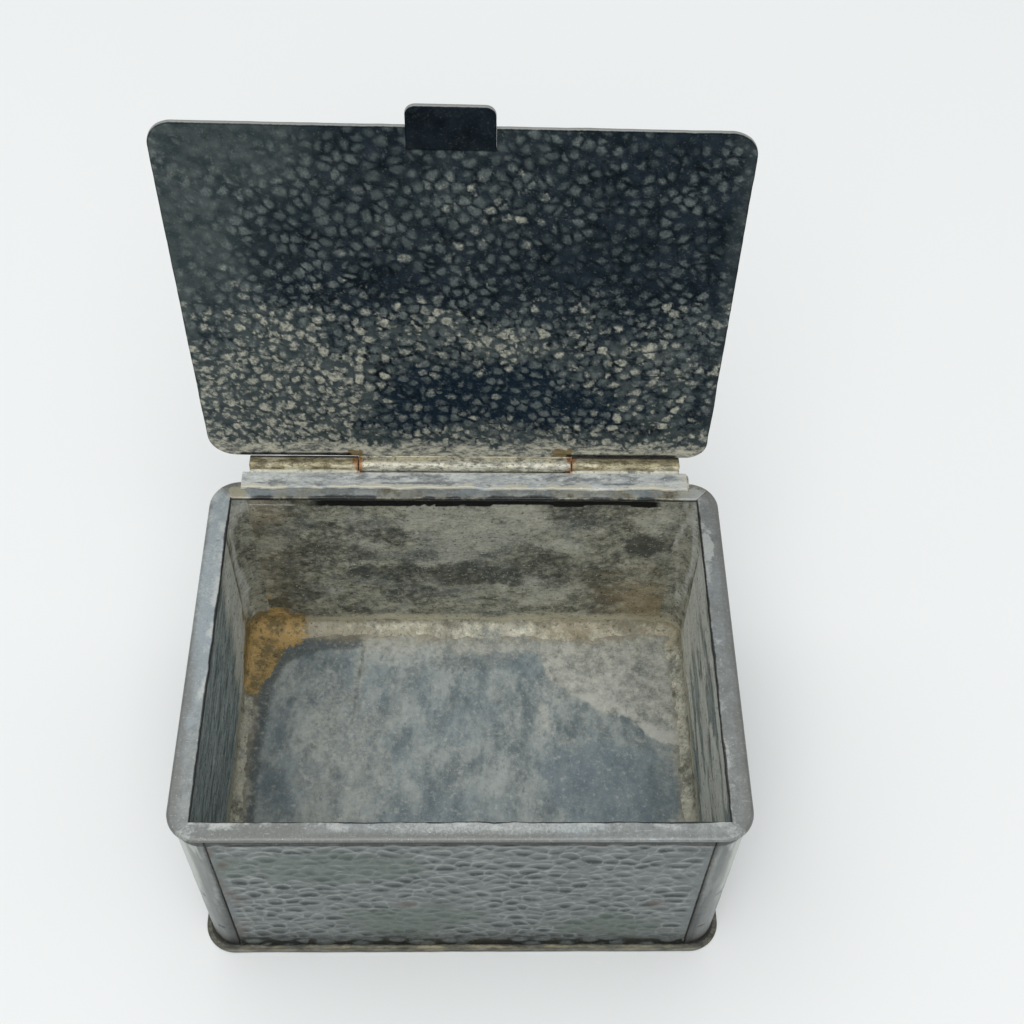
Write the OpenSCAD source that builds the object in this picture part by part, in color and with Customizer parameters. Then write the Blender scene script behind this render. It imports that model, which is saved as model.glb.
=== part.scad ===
// Hand-made pewter box with a hinged lid, drawn with the lid standing open.
// Frame: origin under the centre of the walls, at table level. +Z is up and -Y is the front.
// Every size is in millimetres.

/* [Box] */
// Outside width of the rim
rim_w = 120; // [100:1:140]
// Outside depth of the rim
rim_d = 91; // [75:1:110]
// Height from the table to the top of the rim
box_h = 63; // [40:1:90]
// Thickness of the hammered wall sheet
wall_t = 1.2; // [1:0.1:1.6]
// Thickness of the base plate
base_t = 1.3; // [1:0.1:2]
// How far the base plate stands out beyond the walls
base_lip = 1.5; // [0.8:0.1:2.5]
// Outside radius of the upright corners
corner_r = 6.5; // [5:0.5:8]
// How far the corner strips stand proud of the hammered panels
strip_proud = 0.25; // [0.1:0.05:0.4]
// Flat leg of a corner strip beyond its bend
strip_leg = 0.5; // [0.2:0.1:3]
// Size of the solder fillet between the walls and the floor
fillet_r = 3; // [1:0.5:4]

/* [Rim] */
// Thickness of the rim strips
rim_t = 1.2; // [0.8:0.1:2]
// How far the rim stands out beyond the walls
rim_over = 0.75; // [0.3:0.05:1.5]
// Width of the front rim strip
rim_front_w = 4.2; // [3:0.1:7]
// Width of each side rim strip
rim_side_w = 5; // [3:0.1:7]
// Width of the back rim strip
rim_back_w = 5; // [4:0.1:7]

/* [Lid] */
// Width of the lid
lid_w = 117.8; // [95:0.1:140]
// Thickness of the lid sheet
lid_t = 1.5; // [1:0.1:2]
// Radius of the lid's two front corners
lid_front_r = 5.5; // [2:0.5:9]
// Radius of the lid's two hinge-side corners
lid_back_r = 6.5; // [2:0.5:9]
// Sideways offset of the lid, which was soldered on a little to the left
lid_shift = -1.4; // [-2:0.1:2]
// How far the closed lid reaches past the front edge of the rim
lid_front_over = 0.2; // [0:0.1:1]
// Angle from the level, closed lid to the lid at its stop
lid_open = 93.3; // [85:0.1:100]

/* [Thumb tab] */
// Width of the thumb tab
tab_w = 17.5; // [10:0.5:30]
// How far the tab stands out of the lid
tab_out = 4.7; // [3:0.1:8]
// How far the tab is let into the lid
tab_in = 5; // [3:0.5:10]
// Radius of the tab's two free corners
tab_r = 2; // [0.5:0.1:3]

/* [Hinge] */
// Outside diameter of the hinge barrel
barrel_d = 3.6; // [3:0.1:5]
// Diameter of the hinge pin
pin_d = 1.6; // [1.2:0.1:2]
// Length of the whole barrel
barrel_w = 102.6; // [80:0.1:110]
// Length of the middle knuckle, which carries the lid
center_w = 50.8; // [30:0.1:60]
// Gap between neighbouring knuckles
knuckle_gap = 0.15; // [0.1:0.05:0.4]
// Running clearance on the pin's radius inside the middle knuckle
pin_clear = 0.05; // [0.02:0.01:0.1]
// Interference on the pin's radius inside the two side knuckles
pin_press = 0.01; // [0.005:0.005:0.02]
// Distance from the rim's back edge to the hinge axis
axis_back = 4.3; // [3.5:0.1:6]
// Height of the hinge axis above the rim's top
axis_up = 0.7; // [0.5:0.05:1.2]
// Height of the lid's underside above the hinge axis when it is closed
lid_up = 0.5; // [0.3:0.05:1]
// Distance from the hinge axis to the lid's hinge edge
lid_back = 2.6; // [2.6:0.1:5]
// Thickness of the hinge leaf that lies on the rim
leaf_t = 0.8; // [0.5:0.05:1]
// Length of the hinge leaf
leaf_w = 106; // [90:0.5:110]
// How far the leaf reaches forward from the rim's back edge
leaf_in = 2.6; // [1.5:0.1:4]
// Gap between the leaf's back edge and the middle knuckle
leaf_gap = 0.35; // [0.2:0.05:0.6]

/* [Hidden] */
$fn = 64;

wall_w = rim_w - 2 * rim_over;
wall_d = rim_d - 2 * rim_over;
wall_top = box_h - rim_t;
strip_t = wall_t + strip_proud;
corner_reach = corner_r + strip_leg;
panel_h = wall_top - base_t;
inner_r = corner_r - strip_t;
inner_w = wall_w - 2 * strip_t;
inner_d = wall_d - 2 * strip_t;
barrel_r = barrel_d / 2;
pin_r = pin_d / 2;
axis_y = rim_d / 2 + axis_back;
axis_z = box_h + axis_up;
lid_d = axis_y - lid_back + rim_d / 2 + lid_front_over;
side_knuckle_x = (center_w + knuckle_gap) / 2;
center_knuckle_x = (center_w - knuckle_gap) / 2;
leaf_back_y = axis_y - barrel_r - leaf_gap;
flange_t = 1.2;        // strap that ties the middle knuckle to the lid's edge
bead_r = 0.6;          // radius of the solder beads along the barrel
end_bead_r = 0.9;      // radius of the bead along the leaf's right end
end_bead_w = 4.2;      // length of that bead
stop_bead_w = 40;      // length of the bead that the open lid rests on
stop_clear = 0.03;     // gap left at the stop
pin_end = 0.2;         // how far the pin shows at each end of the barrel
eps = 0.01;
big = 400;

// The stop bead meets the leaf's lower back corner, whose place is given from the hinge axis.
stop_corner = [leaf_back_y - axis_y, box_h - axis_z];
stop_corner_r = norm(stop_corner);
stop_bead_at = barrel_r + 0.1;
stop_spread = acos((pow(stop_bead_at, 2) + pow(stop_corner_r, 2) - pow(bead_r + stop_clear, 2))
  / (2 * stop_bead_at * stop_corner_r));
stop_angle = atan2(stop_corner[1], stop_corner[0]) + stop_spread + lid_open;

// ---------------------------------------------------------------- shared outlines

module rounded_rect(w, d, r) {
  square([w, d - 2 * r], center = true);
  square([w - 2 * r, d], center = true);
  for (sx = [-1, 1], sy = [-1, 1])
    translate([sx * (w / 2 - r), sy * (d / 2 - r)]) circle(r);
}

// The concave triangle of solder that runs into a right angle
module fillet_profile(r) {
  difference() {
    square(r);
    translate([r, r]) circle(r);
  }
}

// A rod along X, from x0 to x1
module rod(x0, x1, r) {
  translate([x0, 0, 0]) rotate([0, 90, 0]) cylinder(r = r, h = x1 - x0);
}

// Puts what follows at the hinge axis
module at_axis() {
  translate([0, axis_y, axis_z]) children();
}

// Puts what follows on the lid: its own frame is the closed lid's, with the hinge axis at 0
module on_lid() {
  at_axis() rotate([-lid_open, 0, 0]) children();
}

// ---------------------------------------------------------------- base and walls

module base_plate() {
  color("#5f5c4c")
    linear_extrude(base_t)
      rounded_rect(wall_w + 2 * base_lip, wall_d + 2 * base_lip, corner_r + base_lip / 2);
}

module wall_panel(length) {
  color("#6c7072")
    translate([-length / 2, 0, base_t]) cube([length, wall_t, panel_h]);
}

module front_panel() {
  translate([0, strip_proud - wall_d / 2, 0]) wall_panel(wall_w - 2 * corner_reach);
}

module back_panel() {
  rotate(180) front_panel();
}

module right_panel() {
  translate([wall_w / 2 - strip_proud, 0, 0]) rotate(90) wall_panel(wall_d - 2 * corner_reach);
}

module left_panel() {
  rotate(180) right_panel();
}

// A strip bent round one upright corner; sx and sy pick the corner
module corner_strip(sx, sy) {
  color("#7d8284")
    translate([sx * (wall_w / 2 - corner_r), sy * (wall_d / 2 - corner_r), base_t])
      scale([sx, sy, 1])
        linear_extrude(panel_h) {
          intersection() {
            difference() {
              circle(corner_r);
              circle(inner_r);
            }
            square(corner_r);
          }
          translate([-strip_leg, inner_r]) square([strip_leg, strip_t]);
          translate([inner_r, -strip_leg]) square([strip_t, strip_leg]);
        }
}

module floor_solder() {
  straight_x = inner_w - 2 * inner_r;
  straight_y = inner_d - 2 * inner_r;
  color("#a5a698")
    translate([0, 0, base_t]) {
      for (side = [0, 180]) rotate(side) {
        translate([-straight_x / 2, -inner_d / 2, 0])
          rotate([90, 0, 90]) linear_extrude(straight_x) fillet_profile(fillet_r);
        translate([inner_w / 2, straight_y / 2, 0])
          rotate([90, 0, 0]) linear_extrude(straight_y) mirror([1, 0]) fillet_profile(fillet_r);
      }
      for (sx = [-1, 1], sy = [-1, 1])
        translate([sx * straight_x / 2, sy * straight_y / 2, 0])
          scale([sx, sy, 1])
            intersection() {
              rotate_extrude() translate([inner_r, 0]) mirror([1, 0]) fillet_profile(fillet_r);
              cube([inner_r, inner_r, fillet_r]);
            }
    }
}

// ---------------------------------------------------------------- rim

// Cuts one mitred strip out of the rim; the four points are its outer and inner corners
module rim_strip(outline) {
  color("#85888a")
    translate([0, 0, wall_top])
      linear_extrude(rim_t)
        intersection() {
          rounded_rect(rim_w, rim_d, corner_r + rim_over / 2);
          polygon(outline);
        }
}

rim_x = [rim_w / 2, rim_w / 2 - rim_side_w];
rim_front_y = [-rim_d / 2, rim_front_w - rim_d / 2];
rim_back_y = [rim_d / 2, rim_d / 2 - rim_back_w];

module rim_front() {
  rim_strip([[-rim_x[0], rim_front_y[0]], [rim_x[0], rim_front_y[0]],
    [rim_x[1], rim_front_y[1]], [-rim_x[1], rim_front_y[1]]]);
}

module rim_back() {
  rim_strip([[-rim_x[0], rim_back_y[0]], [rim_x[0], rim_back_y[0]],
    [rim_x[1], rim_back_y[1]], [-rim_x[1], rim_back_y[1]]]);
}

module rim_right() {
  rim_strip([[rim_x[0], rim_front_y[0]], [rim_x[0], rim_back_y[0]],
    [rim_x[1], rim_back_y[1]], [rim_x[1], rim_front_y[1]]]);
}

module rim_left() {
  mirror([1, 0, 0]) rim_right();
}

// ---------------------------------------------------------------- hinge, box side

module hinge_leaf() {
  ear_w = barrel_w / 2 - side_knuckle_x;
  color("#9aa0a4")
    difference() {
      union() {
        translate([-leaf_w / 2, rim_d / 2 - leaf_in, box_h])
          cube([leaf_w, leaf_back_y - rim_d / 2 + leaf_in, leaf_t]);
        for (x0 = [-barrel_w / 2, side_knuckle_x])
          translate([x0, leaf_back_y - eps, box_h]) cube([ear_w, axis_y - leaf_back_y, leaf_t]);
      }
      at_axis() rod(-big / 2, big / 2, barrel_r);
    }
}

module side_knuckle() {
  color("#b3aa8c")
    at_axis() difference() {
      rod(side_knuckle_x, barrel_w / 2, barrel_r);
      rod(0, big / 2, pin_r - pin_press);
    }
}

module knuckle_right() {
  side_knuckle();
}

module knuckle_left() {
  mirror([1, 0, 0]) side_knuckle();
}

module hinge_pin() {
  color("#6a4a32")
    at_axis() rod(-barrel_w / 2 - pin_end, barrel_w / 2 + pin_end, pin_r);
}

// Beads that tie the side knuckles to the leaf, and one that runs along the leaf's right end
module leaf_solder() {
  bead_y = -barrel_r - bead_r / 3;
  bead_z = leaf_t - axis_up;
  color("#c2b795")
    difference() {
      union() {
        for (x0 = [-barrel_w / 2, side_knuckle_x])
          at_axis() translate([0, bead_y, bead_z])
            rod(x0, x0 + barrel_w / 2 - side_knuckle_x, bead_r);
        translate([leaf_w / 2, leaf_back_y, box_h])
          rotate([90, 0, 0]) cylinder(r = end_bead_r, h = end_bead_w);
      }
      translate([-leaf_w / 2, 0, box_h - big]) cube([leaf_w, big, big + leaf_t]);
      translate([-big / 2, rim_d / 2 - big, box_h - big]) cube([big, big, big]);
      at_axis() rod(-big / 2, big / 2, barrel_r);
    }
}

// ---------------------------------------------------------------- lid side

module lid_outline() {
  half_w = lid_w / 2;
  for (sx = [-1, 1]) {
    translate([sx * (half_w - lid_back_r), -lid_back - lid_back_r]) circle(lid_back_r);
    translate([sx * (half_w - lid_front_r), lid_front_r - lid_back - lid_d]) circle(lid_front_r);
  }
  translate([lid_back_r - half_w, -lid_back - lid_back_r])
    square([lid_w - 2 * lid_back_r, lid_back_r]);
  translate([lid_front_r - half_w, -lid_back - lid_d])
    square([lid_w - 2 * lid_front_r, lid_front_r]);
  translate([-half_w, lid_front_r - lid_back - lid_d])
    square([lid_w, lid_d - lid_front_r - lid_back_r]);
}

module lid_plate() {
  color("#3d4245")
    on_lid() translate([lid_shift, 0, lid_up])
      linear_extrude(lid_t)
        difference() {
          lid_outline();
          translate([-tab_w / 2, -lid_back - lid_d - eps]) square([tab_w, tab_in + eps]);
        }
}

// A tongue let into a notch in the lid's front edge
module thumb_tab() {
  color("#45494b")
    on_lid() translate([lid_shift, -lid_back - lid_d, lid_up])
      linear_extrude(lid_t) {
        translate([-tab_w / 2, tab_r - tab_out]) square([tab_w, tab_in + tab_out - tab_r]);
        translate([tab_r - tab_w / 2, -tab_out]) square([tab_w - 2 * tab_r, tab_r]);
        for (sx = [-1, 1])
          translate([sx * (tab_w / 2 - tab_r), tab_r - tab_out]) circle(tab_r);
      }
}

// The middle knuckle and the strap that ties it to the lid's hinge edge
module knuckle_center() {
  color("#b8b092")
    on_lid() difference() {
      union() {
        rod(-center_knuckle_x, center_knuckle_x, barrel_r);
        translate([-center_knuckle_x, -lid_back, lid_up])
          cube([2 * center_knuckle_x, lid_back, flange_t]);
      }
      rod(-big / 2, big / 2, pin_r + pin_clear);
    }
}

// A bead over the strap, and the bead under the middle knuckle that the open lid rests on
module lid_solder() {
  strap_top = lid_up + flange_t;
  color("#a8a288")
    on_lid() {
      difference() {
        translate([0, -(lid_back + barrel_r) / 2, strap_top])
          rod(-center_knuckle_x, center_knuckle_x, bead_r);
        translate([-big / 2, -big / 2, strap_top - big]) cube([big, big, big]);
        translate([-big / 2, -lid_back - big, -big / 2]) cube([big, big, big]);
        rod(-big / 2, big / 2, barrel_r);
      }
      difference() {
        rotate([stop_angle, 0, 0]) translate([0, stop_bead_at, 0])
          rod(-stop_bead_w / 2, stop_bead_w / 2, bead_r);
        rod(-big / 2, big / 2, barrel_r);
      }
    }
}

// ---------------------------------------------------------------- one line for each node

base_plate();
front_panel();
back_panel();
left_panel();
right_panel();
corner_strip(-1, -1);  // corner_front_left
corner_strip(1, -1);  // corner_front_right
corner_strip(-1, 1);  // corner_back_left
corner_strip(1, 1);  // corner_back_right
rim_front();
rim_back();
rim_left();
rim_right();
floor_solder();
hinge_leaf();
knuckle_left();
knuckle_right();
hinge_pin();
leaf_solder();
lid_plate();
thumb_tab();
knuckle_center();
lid_solder();
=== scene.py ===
"""Hand-made pewter box with its hammered lid standing open.

Every visible piece is a closed mesh made here from grids of points, in the place its CAD node gives.
Lengths are in millimetres until a mesh is made. Masks that the materials read are stored on the points.
"""
import math
from functools import partial, reduce

import bpy
import numpy as np
from mathutils import Matrix, Vector


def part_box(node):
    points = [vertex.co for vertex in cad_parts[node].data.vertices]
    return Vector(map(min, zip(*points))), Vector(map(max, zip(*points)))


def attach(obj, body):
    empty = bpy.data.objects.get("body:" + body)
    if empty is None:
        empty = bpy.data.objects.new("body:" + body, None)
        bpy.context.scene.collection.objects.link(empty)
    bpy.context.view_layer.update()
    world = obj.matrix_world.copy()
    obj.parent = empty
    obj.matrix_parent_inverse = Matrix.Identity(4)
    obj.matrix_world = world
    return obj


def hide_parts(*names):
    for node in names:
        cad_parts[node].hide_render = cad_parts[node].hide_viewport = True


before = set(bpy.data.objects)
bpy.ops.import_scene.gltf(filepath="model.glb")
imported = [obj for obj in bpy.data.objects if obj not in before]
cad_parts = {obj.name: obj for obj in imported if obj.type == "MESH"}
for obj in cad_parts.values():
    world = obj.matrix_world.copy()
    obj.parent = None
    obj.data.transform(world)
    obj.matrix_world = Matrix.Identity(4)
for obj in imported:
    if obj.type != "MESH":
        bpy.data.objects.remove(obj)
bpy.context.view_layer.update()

MM = 0.001
BOX, LID = "box", "lid"
FINE = 2                         # squares of a sheet's front along each square of its back
EVEN = (1, 1, 1)

# Sizes that the CAD boxes don't give
BASE_RADIUS = 7.25
CORNER_RADIUS = 6.5
STRIP_THICK = 1.45
STRIP_LEG = 0.5
RIM_RADIUS = 6.875
RIM_INNER = (55.0, -41.3, 40.5)  # half width inside the rim, its inner front edge and its inner back edge
LID_RADIUS = (5.5, 6.5, 5.0)     # front corners, left and right hinge-side corners
LID_UNDER, LID_OUTER = 0.5, 2.0  # the lid sheet's two faces, above the hinge axis when the lid is closed
LID_EDGES = (-2.6, -95.5)        # its hinge-side and front edges, from the hinge axis
TAB_IN, TAB_OUT = 5.0, 4.7       # how far the tab goes into the lid and sticks out of it
BARREL, PIN = 1.8, 0.8           # radii
LEAF_TOP, LEAF_BACK = 63.8, 47.65
HAMMER = (3.8, 2.7)              # usual width and height of a hammer mark on the walls


# ---------------------------------------------------------------- patterns

def smooth(t):
    t = np.clip(t, 0, 1)
    return t * t * (3 - 2 * t)


def ramp(value, low, high):
    """0 at low and 1 at high, with a soft start and end; low may be the larger."""
    return smooth((value - low) / (high - low))


def most(*values):
    """The largest of the values at each point."""
    return reduce(np.maximum, values)


def noise(x, y, size, seed, octaves=3):
    """Smooth noise from 0 to 1. size is the length of its broadest features, or one for x and one for y."""
    size_x, size_y = size if isinstance(size, tuple) else (size, size)
    total, weight = np.zeros(np.broadcast(x, y).shape), 0
    for k in range(octaves):
        grid = np.random.default_rng(seed * 10 + k).random((89, 89))
        u = x * 2 ** k / size_x + 31.7 * k
        v = y * 2 ** k / size_y + 17.3 * k
        i, j = np.floor(u).astype(int), np.floor(v).astype(int)
        a, b = smooth(u - i), smooth(v - j)
        i0, j0, i1, j1 = i % 89, j % 89, (i + 1) % 89, (j + 1) % 89
        near = grid[i0, j0] * (1 - a) + grid[i1, j0] * a
        far = grid[i0, j1] * (1 - a) + grid[i1, j1] * a
        total += (near * (1 - b) + far * b) * 0.6 ** k
        weight += 0.6 ** k
    return np.clip(0.5 + 1.5 * (total / weight - 0.5), 0, 1)


def sway(x, y, size, seed, octaves=3):
    """The same noise from -0.5 to 0.5."""
    return noise(x, y, size, seed, octaves) - 0.5


def patches(x, y, size, seed, low, high, octaves=4):
    """Patches of 1 on 0, where the noise is past high."""
    return ramp(noise(x, y, size, seed, octaves), low, high)


def marks(x, y, size, seed, jitter=0.8, spread=0.3, soft=0.05):
    """Overlapping round blows. Gives each point its height between the middle of its mark (0) and the
    ridge round it (about 0.5), how far it is from that ridge, how far it is from the middle of its mark
    (0.5 is about the ridge), and a number from 0 to 1 for its mark."""
    table = np.random.default_rng(seed).random((67, 67, 4))
    u, v = x / size[0], y / size[1]
    best, second = np.full((2, *u.shape), 9.0)
    tone, reach, blend = np.zeros((3, *u.shape))
    row = np.floor(v).astype(int)
    for dj in range(-2, 3):
        j = row + dj
        across = u + 0.5 * (j % 2)
        column = np.floor(across).astype(int)
        for di in range(-2, 3):
            i = column + di
            pick = table[i % 67, j % 67]
            du = across - i - 0.5 - jitter * (pick[..., 0] - 0.5)
            dv = v - j - 0.5 - jitter * (pick[..., 1] - 0.5)
            own = du * du + dv * dv
            d = own + spread * pick[..., 2]
            nearer = d < best
            second = np.where(nearer, best, np.minimum(second, d))
            tone = np.where(nearer, pick[..., 3], tone)
            reach = np.where(nearer, own, reach)
            best = np.minimum(best, d)
            blend += np.exp(-d / soft)
    return -soft * np.log(blend), second - best, np.sqrt(reach), tone


def blot(x, y, at, size, seed, ragged=0.9, grain=None):
    """A patch with a ragged outline: 1 in its middle, 0 outside."""
    d = np.hypot((x - at[0]) / size[0], (y - at[1]) / size[1])
    return ramp(d + ragged * sway(x, y, grain or 0.7 * min(size), seed, 4), 1.15, 0.75)


def line_distance(x, y, points):
    """Distance to a line through the given points."""
    best = np.full(np.broadcast(x, y).shape, 1e9)
    for (x0, y0), (x1, y1) in zip(points, points[1:]):
        t = ((x - x0) * (x1 - x0) + (y - y0) * (y1 - y0)) / ((x1 - x0) ** 2 + (y1 - y0) ** 2)
        t = np.clip(t, 0, 1)
        best = np.minimum(best, np.hypot(x - x0 - t * (x1 - x0), y - y0 - t * (y1 - y0)))
    return best


def rounding(distance, radius):
    """How far a surface falls at this distance from its edge, for a quarter-round edge."""
    t = np.clip(radius - distance, 0, radius)
    return radius - np.sqrt(radius ** 2 - t ** 2)


# ---------------------------------------------------------------- grids

def stops(low, high, step, edge=(0.25, 0.7), inner=()):
    """Grid lines from low to high, closer at both ends, with lines at the inner places."""
    near, far = [low + e for e in edge], [high - e for e in reversed(edge)]
    fixed = sorted([near[-1], *inner, far[0]])
    out = [low, *near[:-1]]
    for a, b in zip(fixed, fixed[1:]):
        count = max(1, round((b - a) / step))
        out += [a + (b - a) * k / count for k in range(count)]
    return np.array([*out, *far, high])


def net(x_lines, y_lines, parts=1):
    """x and y where the lines cross, with each gap between two lines cut into equal parts."""
    def finer(lines):
        share = np.arange(parts) / parts
        cut = lines[:-1, None] + (lines[1:] - lines[:-1])[:, None] * share
        return np.append(cut.ravel(), lines[-1])

    return np.meshgrid(finer(x_lines), finer(y_lines), indexing="ij")


def round_corner(x, y, half, radius):
    """Moves grid points of a rectangle so that its corner squares become quarter discs.
    Gives the new points and their distance from the outline."""
    px, py = np.abs(x) - (half[0] - radius), np.abs(y) - (half[1] - radius)
    shell = np.maximum(px, py)
    corner = (px > 0) & (py > 0)
    safe = np.where(corner, shell, 1)
    angle = np.where(px > py, py / safe, 2 - px / safe) * math.pi / 4
    new_x = np.where(corner, half[0] - radius + shell * np.cos(angle), np.abs(x)) * np.sign(x)
    new_y = np.where(corner, half[1] - radius + shell * np.sin(angle), np.abs(y)) * np.sign(y)
    return new_x, new_y, radius - shell


# ---------------------------------------------------------------- meshes

def cad(node):
    """Lowest and highest corner of a CAD node."""
    low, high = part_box(node)
    return np.array(low) / MM, np.array(high) / MM


def piece(node, body, points, faces, masks, looks, look_of_face=None):
    """Makes the detailed piece that stands in for a CAD node."""
    used = np.unique(np.concatenate([np.ravel(f) for f in faces]))
    place = np.zeros(len(points), int)
    place[used] = np.arange(len(used))
    faces = [place[f].tolist() for f in map(np.asarray, faces)]
    corners = points[used] * MM
    mesh = bpy.data.meshes.new(node + "_mesh")
    mesh.from_pydata(corners.tolist(), [], faces)
    a, b, c = corners[np.array([f[:3] for f in faces])].transpose(1, 0, 2)
    middle = corners.mean(0)
    if np.einsum("ij,ij->i", a - middle, np.cross(b - middle, c - middle)).sum() < 0:
        mesh.flip_normals()
    mesh.shade_smooth()
    mesh.set_sharp_from_angle(angle=math.radians(55))
    for key, values in masks.items():
        layer = mesh.attributes.new(key, "FLOAT", "POINT")
        layer.data.foreach_set("value", np.ravel(values)[used].astype(np.float32))
    for look in looks:
        mesh.materials.append(look)
    if look_of_face is not None:
        mesh.polygons.foreach_set("material_index", np.asarray(look_of_face, np.int32))
    mesh.update()
    obj = bpy.data.objects.new(node + "_detail", mesh)
    bpy.context.scene.collection.objects.link(obj)
    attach(obj, body)
    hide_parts(node)


def closed_sheet(front, back, keep):
    """Points and faces of a closed piece between two grids. keep says which of the back's squares are
    part of the piece. Gives the number of front faces too."""
    n, m = front.shape[:2]
    fine = np.arange(n * m).reshape(n, m)
    coarse = n * m + np.arange(back.shape[0] * back.shape[1]).reshape(back.shape[:2])

    def squares(ids, mask):
        return np.stack([ids[:-1, :-1], ids[1:, :-1], ids[1:, 1:], ids[:-1, 1:]], -1)[mask]

    faces = squares(fine, keep.repeat(FINE, 0).repeat(FINE, 1)).tolist()
    front_count = len(faces)
    faces += squares(coarse, keep)[:, ::-1].tolist()
    held = np.pad(keep, 1)
    for fine, coarse, held, forward in ((fine, coarse, held, True), (fine.T, coarse.T, held.T, False)):
        for i in range(len(coarse) - 1):
            for j in np.flatnonzero(held[i + 1, :-1] != held[i + 1, 1:]):
                run = fine[i * FINE:(i + 1) * FINE + 1, j * FINE].tolist()
                ends = [coarse[i + 1, j], coarse[i, j]]
                faces.append(run + ends if held[i + 1, j] == forward else run[::-1] + ends[::-1])
    points = np.concatenate([front.reshape(-1, 3), back.reshape(-1, 3)])
    return points, faces, front_count


def sheet(node, body, front, back, front_masks, back_masks, looks, keep=None):
    """Piece between two grids of points. The second look, if there is one, is the back's."""
    if keep is None:
        keep = np.ones((back.shape[0] - 1, back.shape[1] - 1), bool)
    points, faces, front_count = closed_sheet(front, back, keep)
    masks = {}
    for key in sorted({*front_masks, *back_masks}):
        masks[key] = np.concatenate([np.broadcast_to(given.get(key, 0.0), grid.shape[:2]).ravel()
                                     for grid, given in ((front, front_masks), (back, back_masks))])
    is_back = np.arange(len(faces)) >= front_count
    piece(node, body, points, faces, masks, looks, is_back * (len(looks) - 1))


def loft(node, body, parts, looks, masks, loop=False):
    """Piece skinned over one or more sets of rings. A set closes on itself with loop, or else gets flat ends.
    masks turns the rings' x, y and z into the masks."""
    points, faces, first = [], [], 0
    for rings in parts:
        n, k = rings.shape[:2]
        ids = first + np.arange(n * k).reshape(n, k)
        start, ahead = (ids, np.roll(ids, -1, 0)) if loop else (ids[:-1], ids[1:])
        sides = np.stack([start, ahead, np.roll(ahead, -1, 1), np.roll(start, -1, 1)], -1)
        faces += sides.reshape(-1, 4).tolist()
        if not loop:
            faces += [ids[0].tolist(), ids[-1, ::-1].tolist()]
        points.append(rings.reshape(-1, 3))
        first += n * k
    points = np.concatenate(points)
    values = {key: np.broadcast_to(v, len(points)) for key, v in masks(*points.T).items()}
    piece(node, body, points, faces, values, looks)


# ---------------------------------------------------------------- materials

class Look:
    """A material's nodes, with one short call for each kind. Its colour is built up layer by layer."""

    def __init__(self, name):
        self.material = bpy.data.materials.new(name)
        self.material.use_nodes = True
        self.tree = self.material.node_tree
        self.shader = self.tree.nodes["Principled BSDF"]
        self.coords = self.node("TexCoord", {})["Object"]

    def put(self, sockets, values):
        """Links or sets sockets, given by name or number."""
        for key, value in values.items():
            if isinstance(value, bpy.types.NodeSocket):
                self.tree.links.new(value, sockets[key])
            elif isinstance(value, tuple) and sockets[key].type == "RGBA":
                sockets[key].default_value = (*value, 1)
            else:
                sockets[key].default_value = value

    def node(self, kind, values, **settings):
        node = self.tree.nodes.new("ShaderNode" + kind)
        for key, value in settings.items():
            setattr(node, key, value)
        self.put(node.inputs, values)
        return node.outputs

    def noise(self, size, detail=3.0, stretch=EVEN, shift=0.0, rough=0.6):
        """Noise from 0 to 1 with features of this size; stretch makes them longer along an axis."""
        scale = tuple(1 / (size * MM * s) for s in stretch)
        at = self.node("Mapping", {"Vector": self.coords, "Location": (shift, shift * 0.7, shift * 1.3),
                                   "Scale": scale})[0]
        return self.node("TexNoise", {"Vector": at, "Scale": 1.0, "Detail": detail, "Roughness": rough})[0]

    def math(self, operation, a, b=0.0, c=0.0):
        return self.node("Math", {0: a, 1: b, 2: c}, operation=operation)[0]

    def ramp(self, value, low, high, top=1.0):
        return self.node("MapRange", {"Value": value, "From Min": low, "From Max": high, "To Max": top},
                         interpolation_type="SMOOTHSTEP")[0]

    def uneven(self, value, least, more, low=0.2, high=0.8):
        """Goes from least to least + more as the value goes from low to high."""
        return self.math("ADD", self.ramp(value, low, high, more), least)

    def mix(self, amount, a, b):
        return self.node("Mix", {0: amount, 6: a, 7: b}, data_type="RGBA")[2]

    def blend(self, value, low, high, a, b):
        """Goes from colour a to colour b as the value goes from low to high."""
        return self.mix(self.ramp(value, low, high), a, b)

    def ground(self, *blend):
        """Starts the colour."""
        self.colour = self.blend(*blend)

    def layer(self, name, colour, grain=0.8, ragged=0.5, soft=0.3, top=1.0, stretch=EVEN):
        """Lays a colour over the ones before where the mask of this name is high, with a grainy border."""
        fine = self.math("SUBTRACT", self.noise(grain, 4.0, stretch, shift=len(name) * 3.1), 0.5)
        mask = self.node("Attribute", {}, attribute_name=name)["Fac"]
        value = self.math("MULTIPLY_ADD", fine, 2 * ragged, mask)
        self.colour = self.mix(self.ramp(value, 0.5 - soft, 0.5 + soft, top), self.colour, colour)

    def specks(self, size, low, high, top=0.6, stretch=EVEN, shift=5.0):
        return self.ramp(self.noise(size, 3.0, stretch, shift), low, high, top)

    def speckle(self, colour, *specks, **more):
        """Scatters specks of a colour, more of them the lower low is."""
        self.colour = self.mix(self.specks(*specks, **more), self.colour, colour)

    def finish(self, rough, metal, height=0.0, depth=0.0, gloss=0.5):
        """Connects the shader; bumps follow height and are up to depth mm deep."""
        self.put(self.shader.inputs, {"Base Color": self.colour, "Roughness": rough, "Metallic": metal,
                                      "Specular IOR Level": gloss})
        if depth:
            bump = self.node("Bump", {"Distance": depth * MM, "Height": height})
            self.put(self.shader.inputs, {"Normal": bump["Normal"]})
        return self.material



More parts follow.
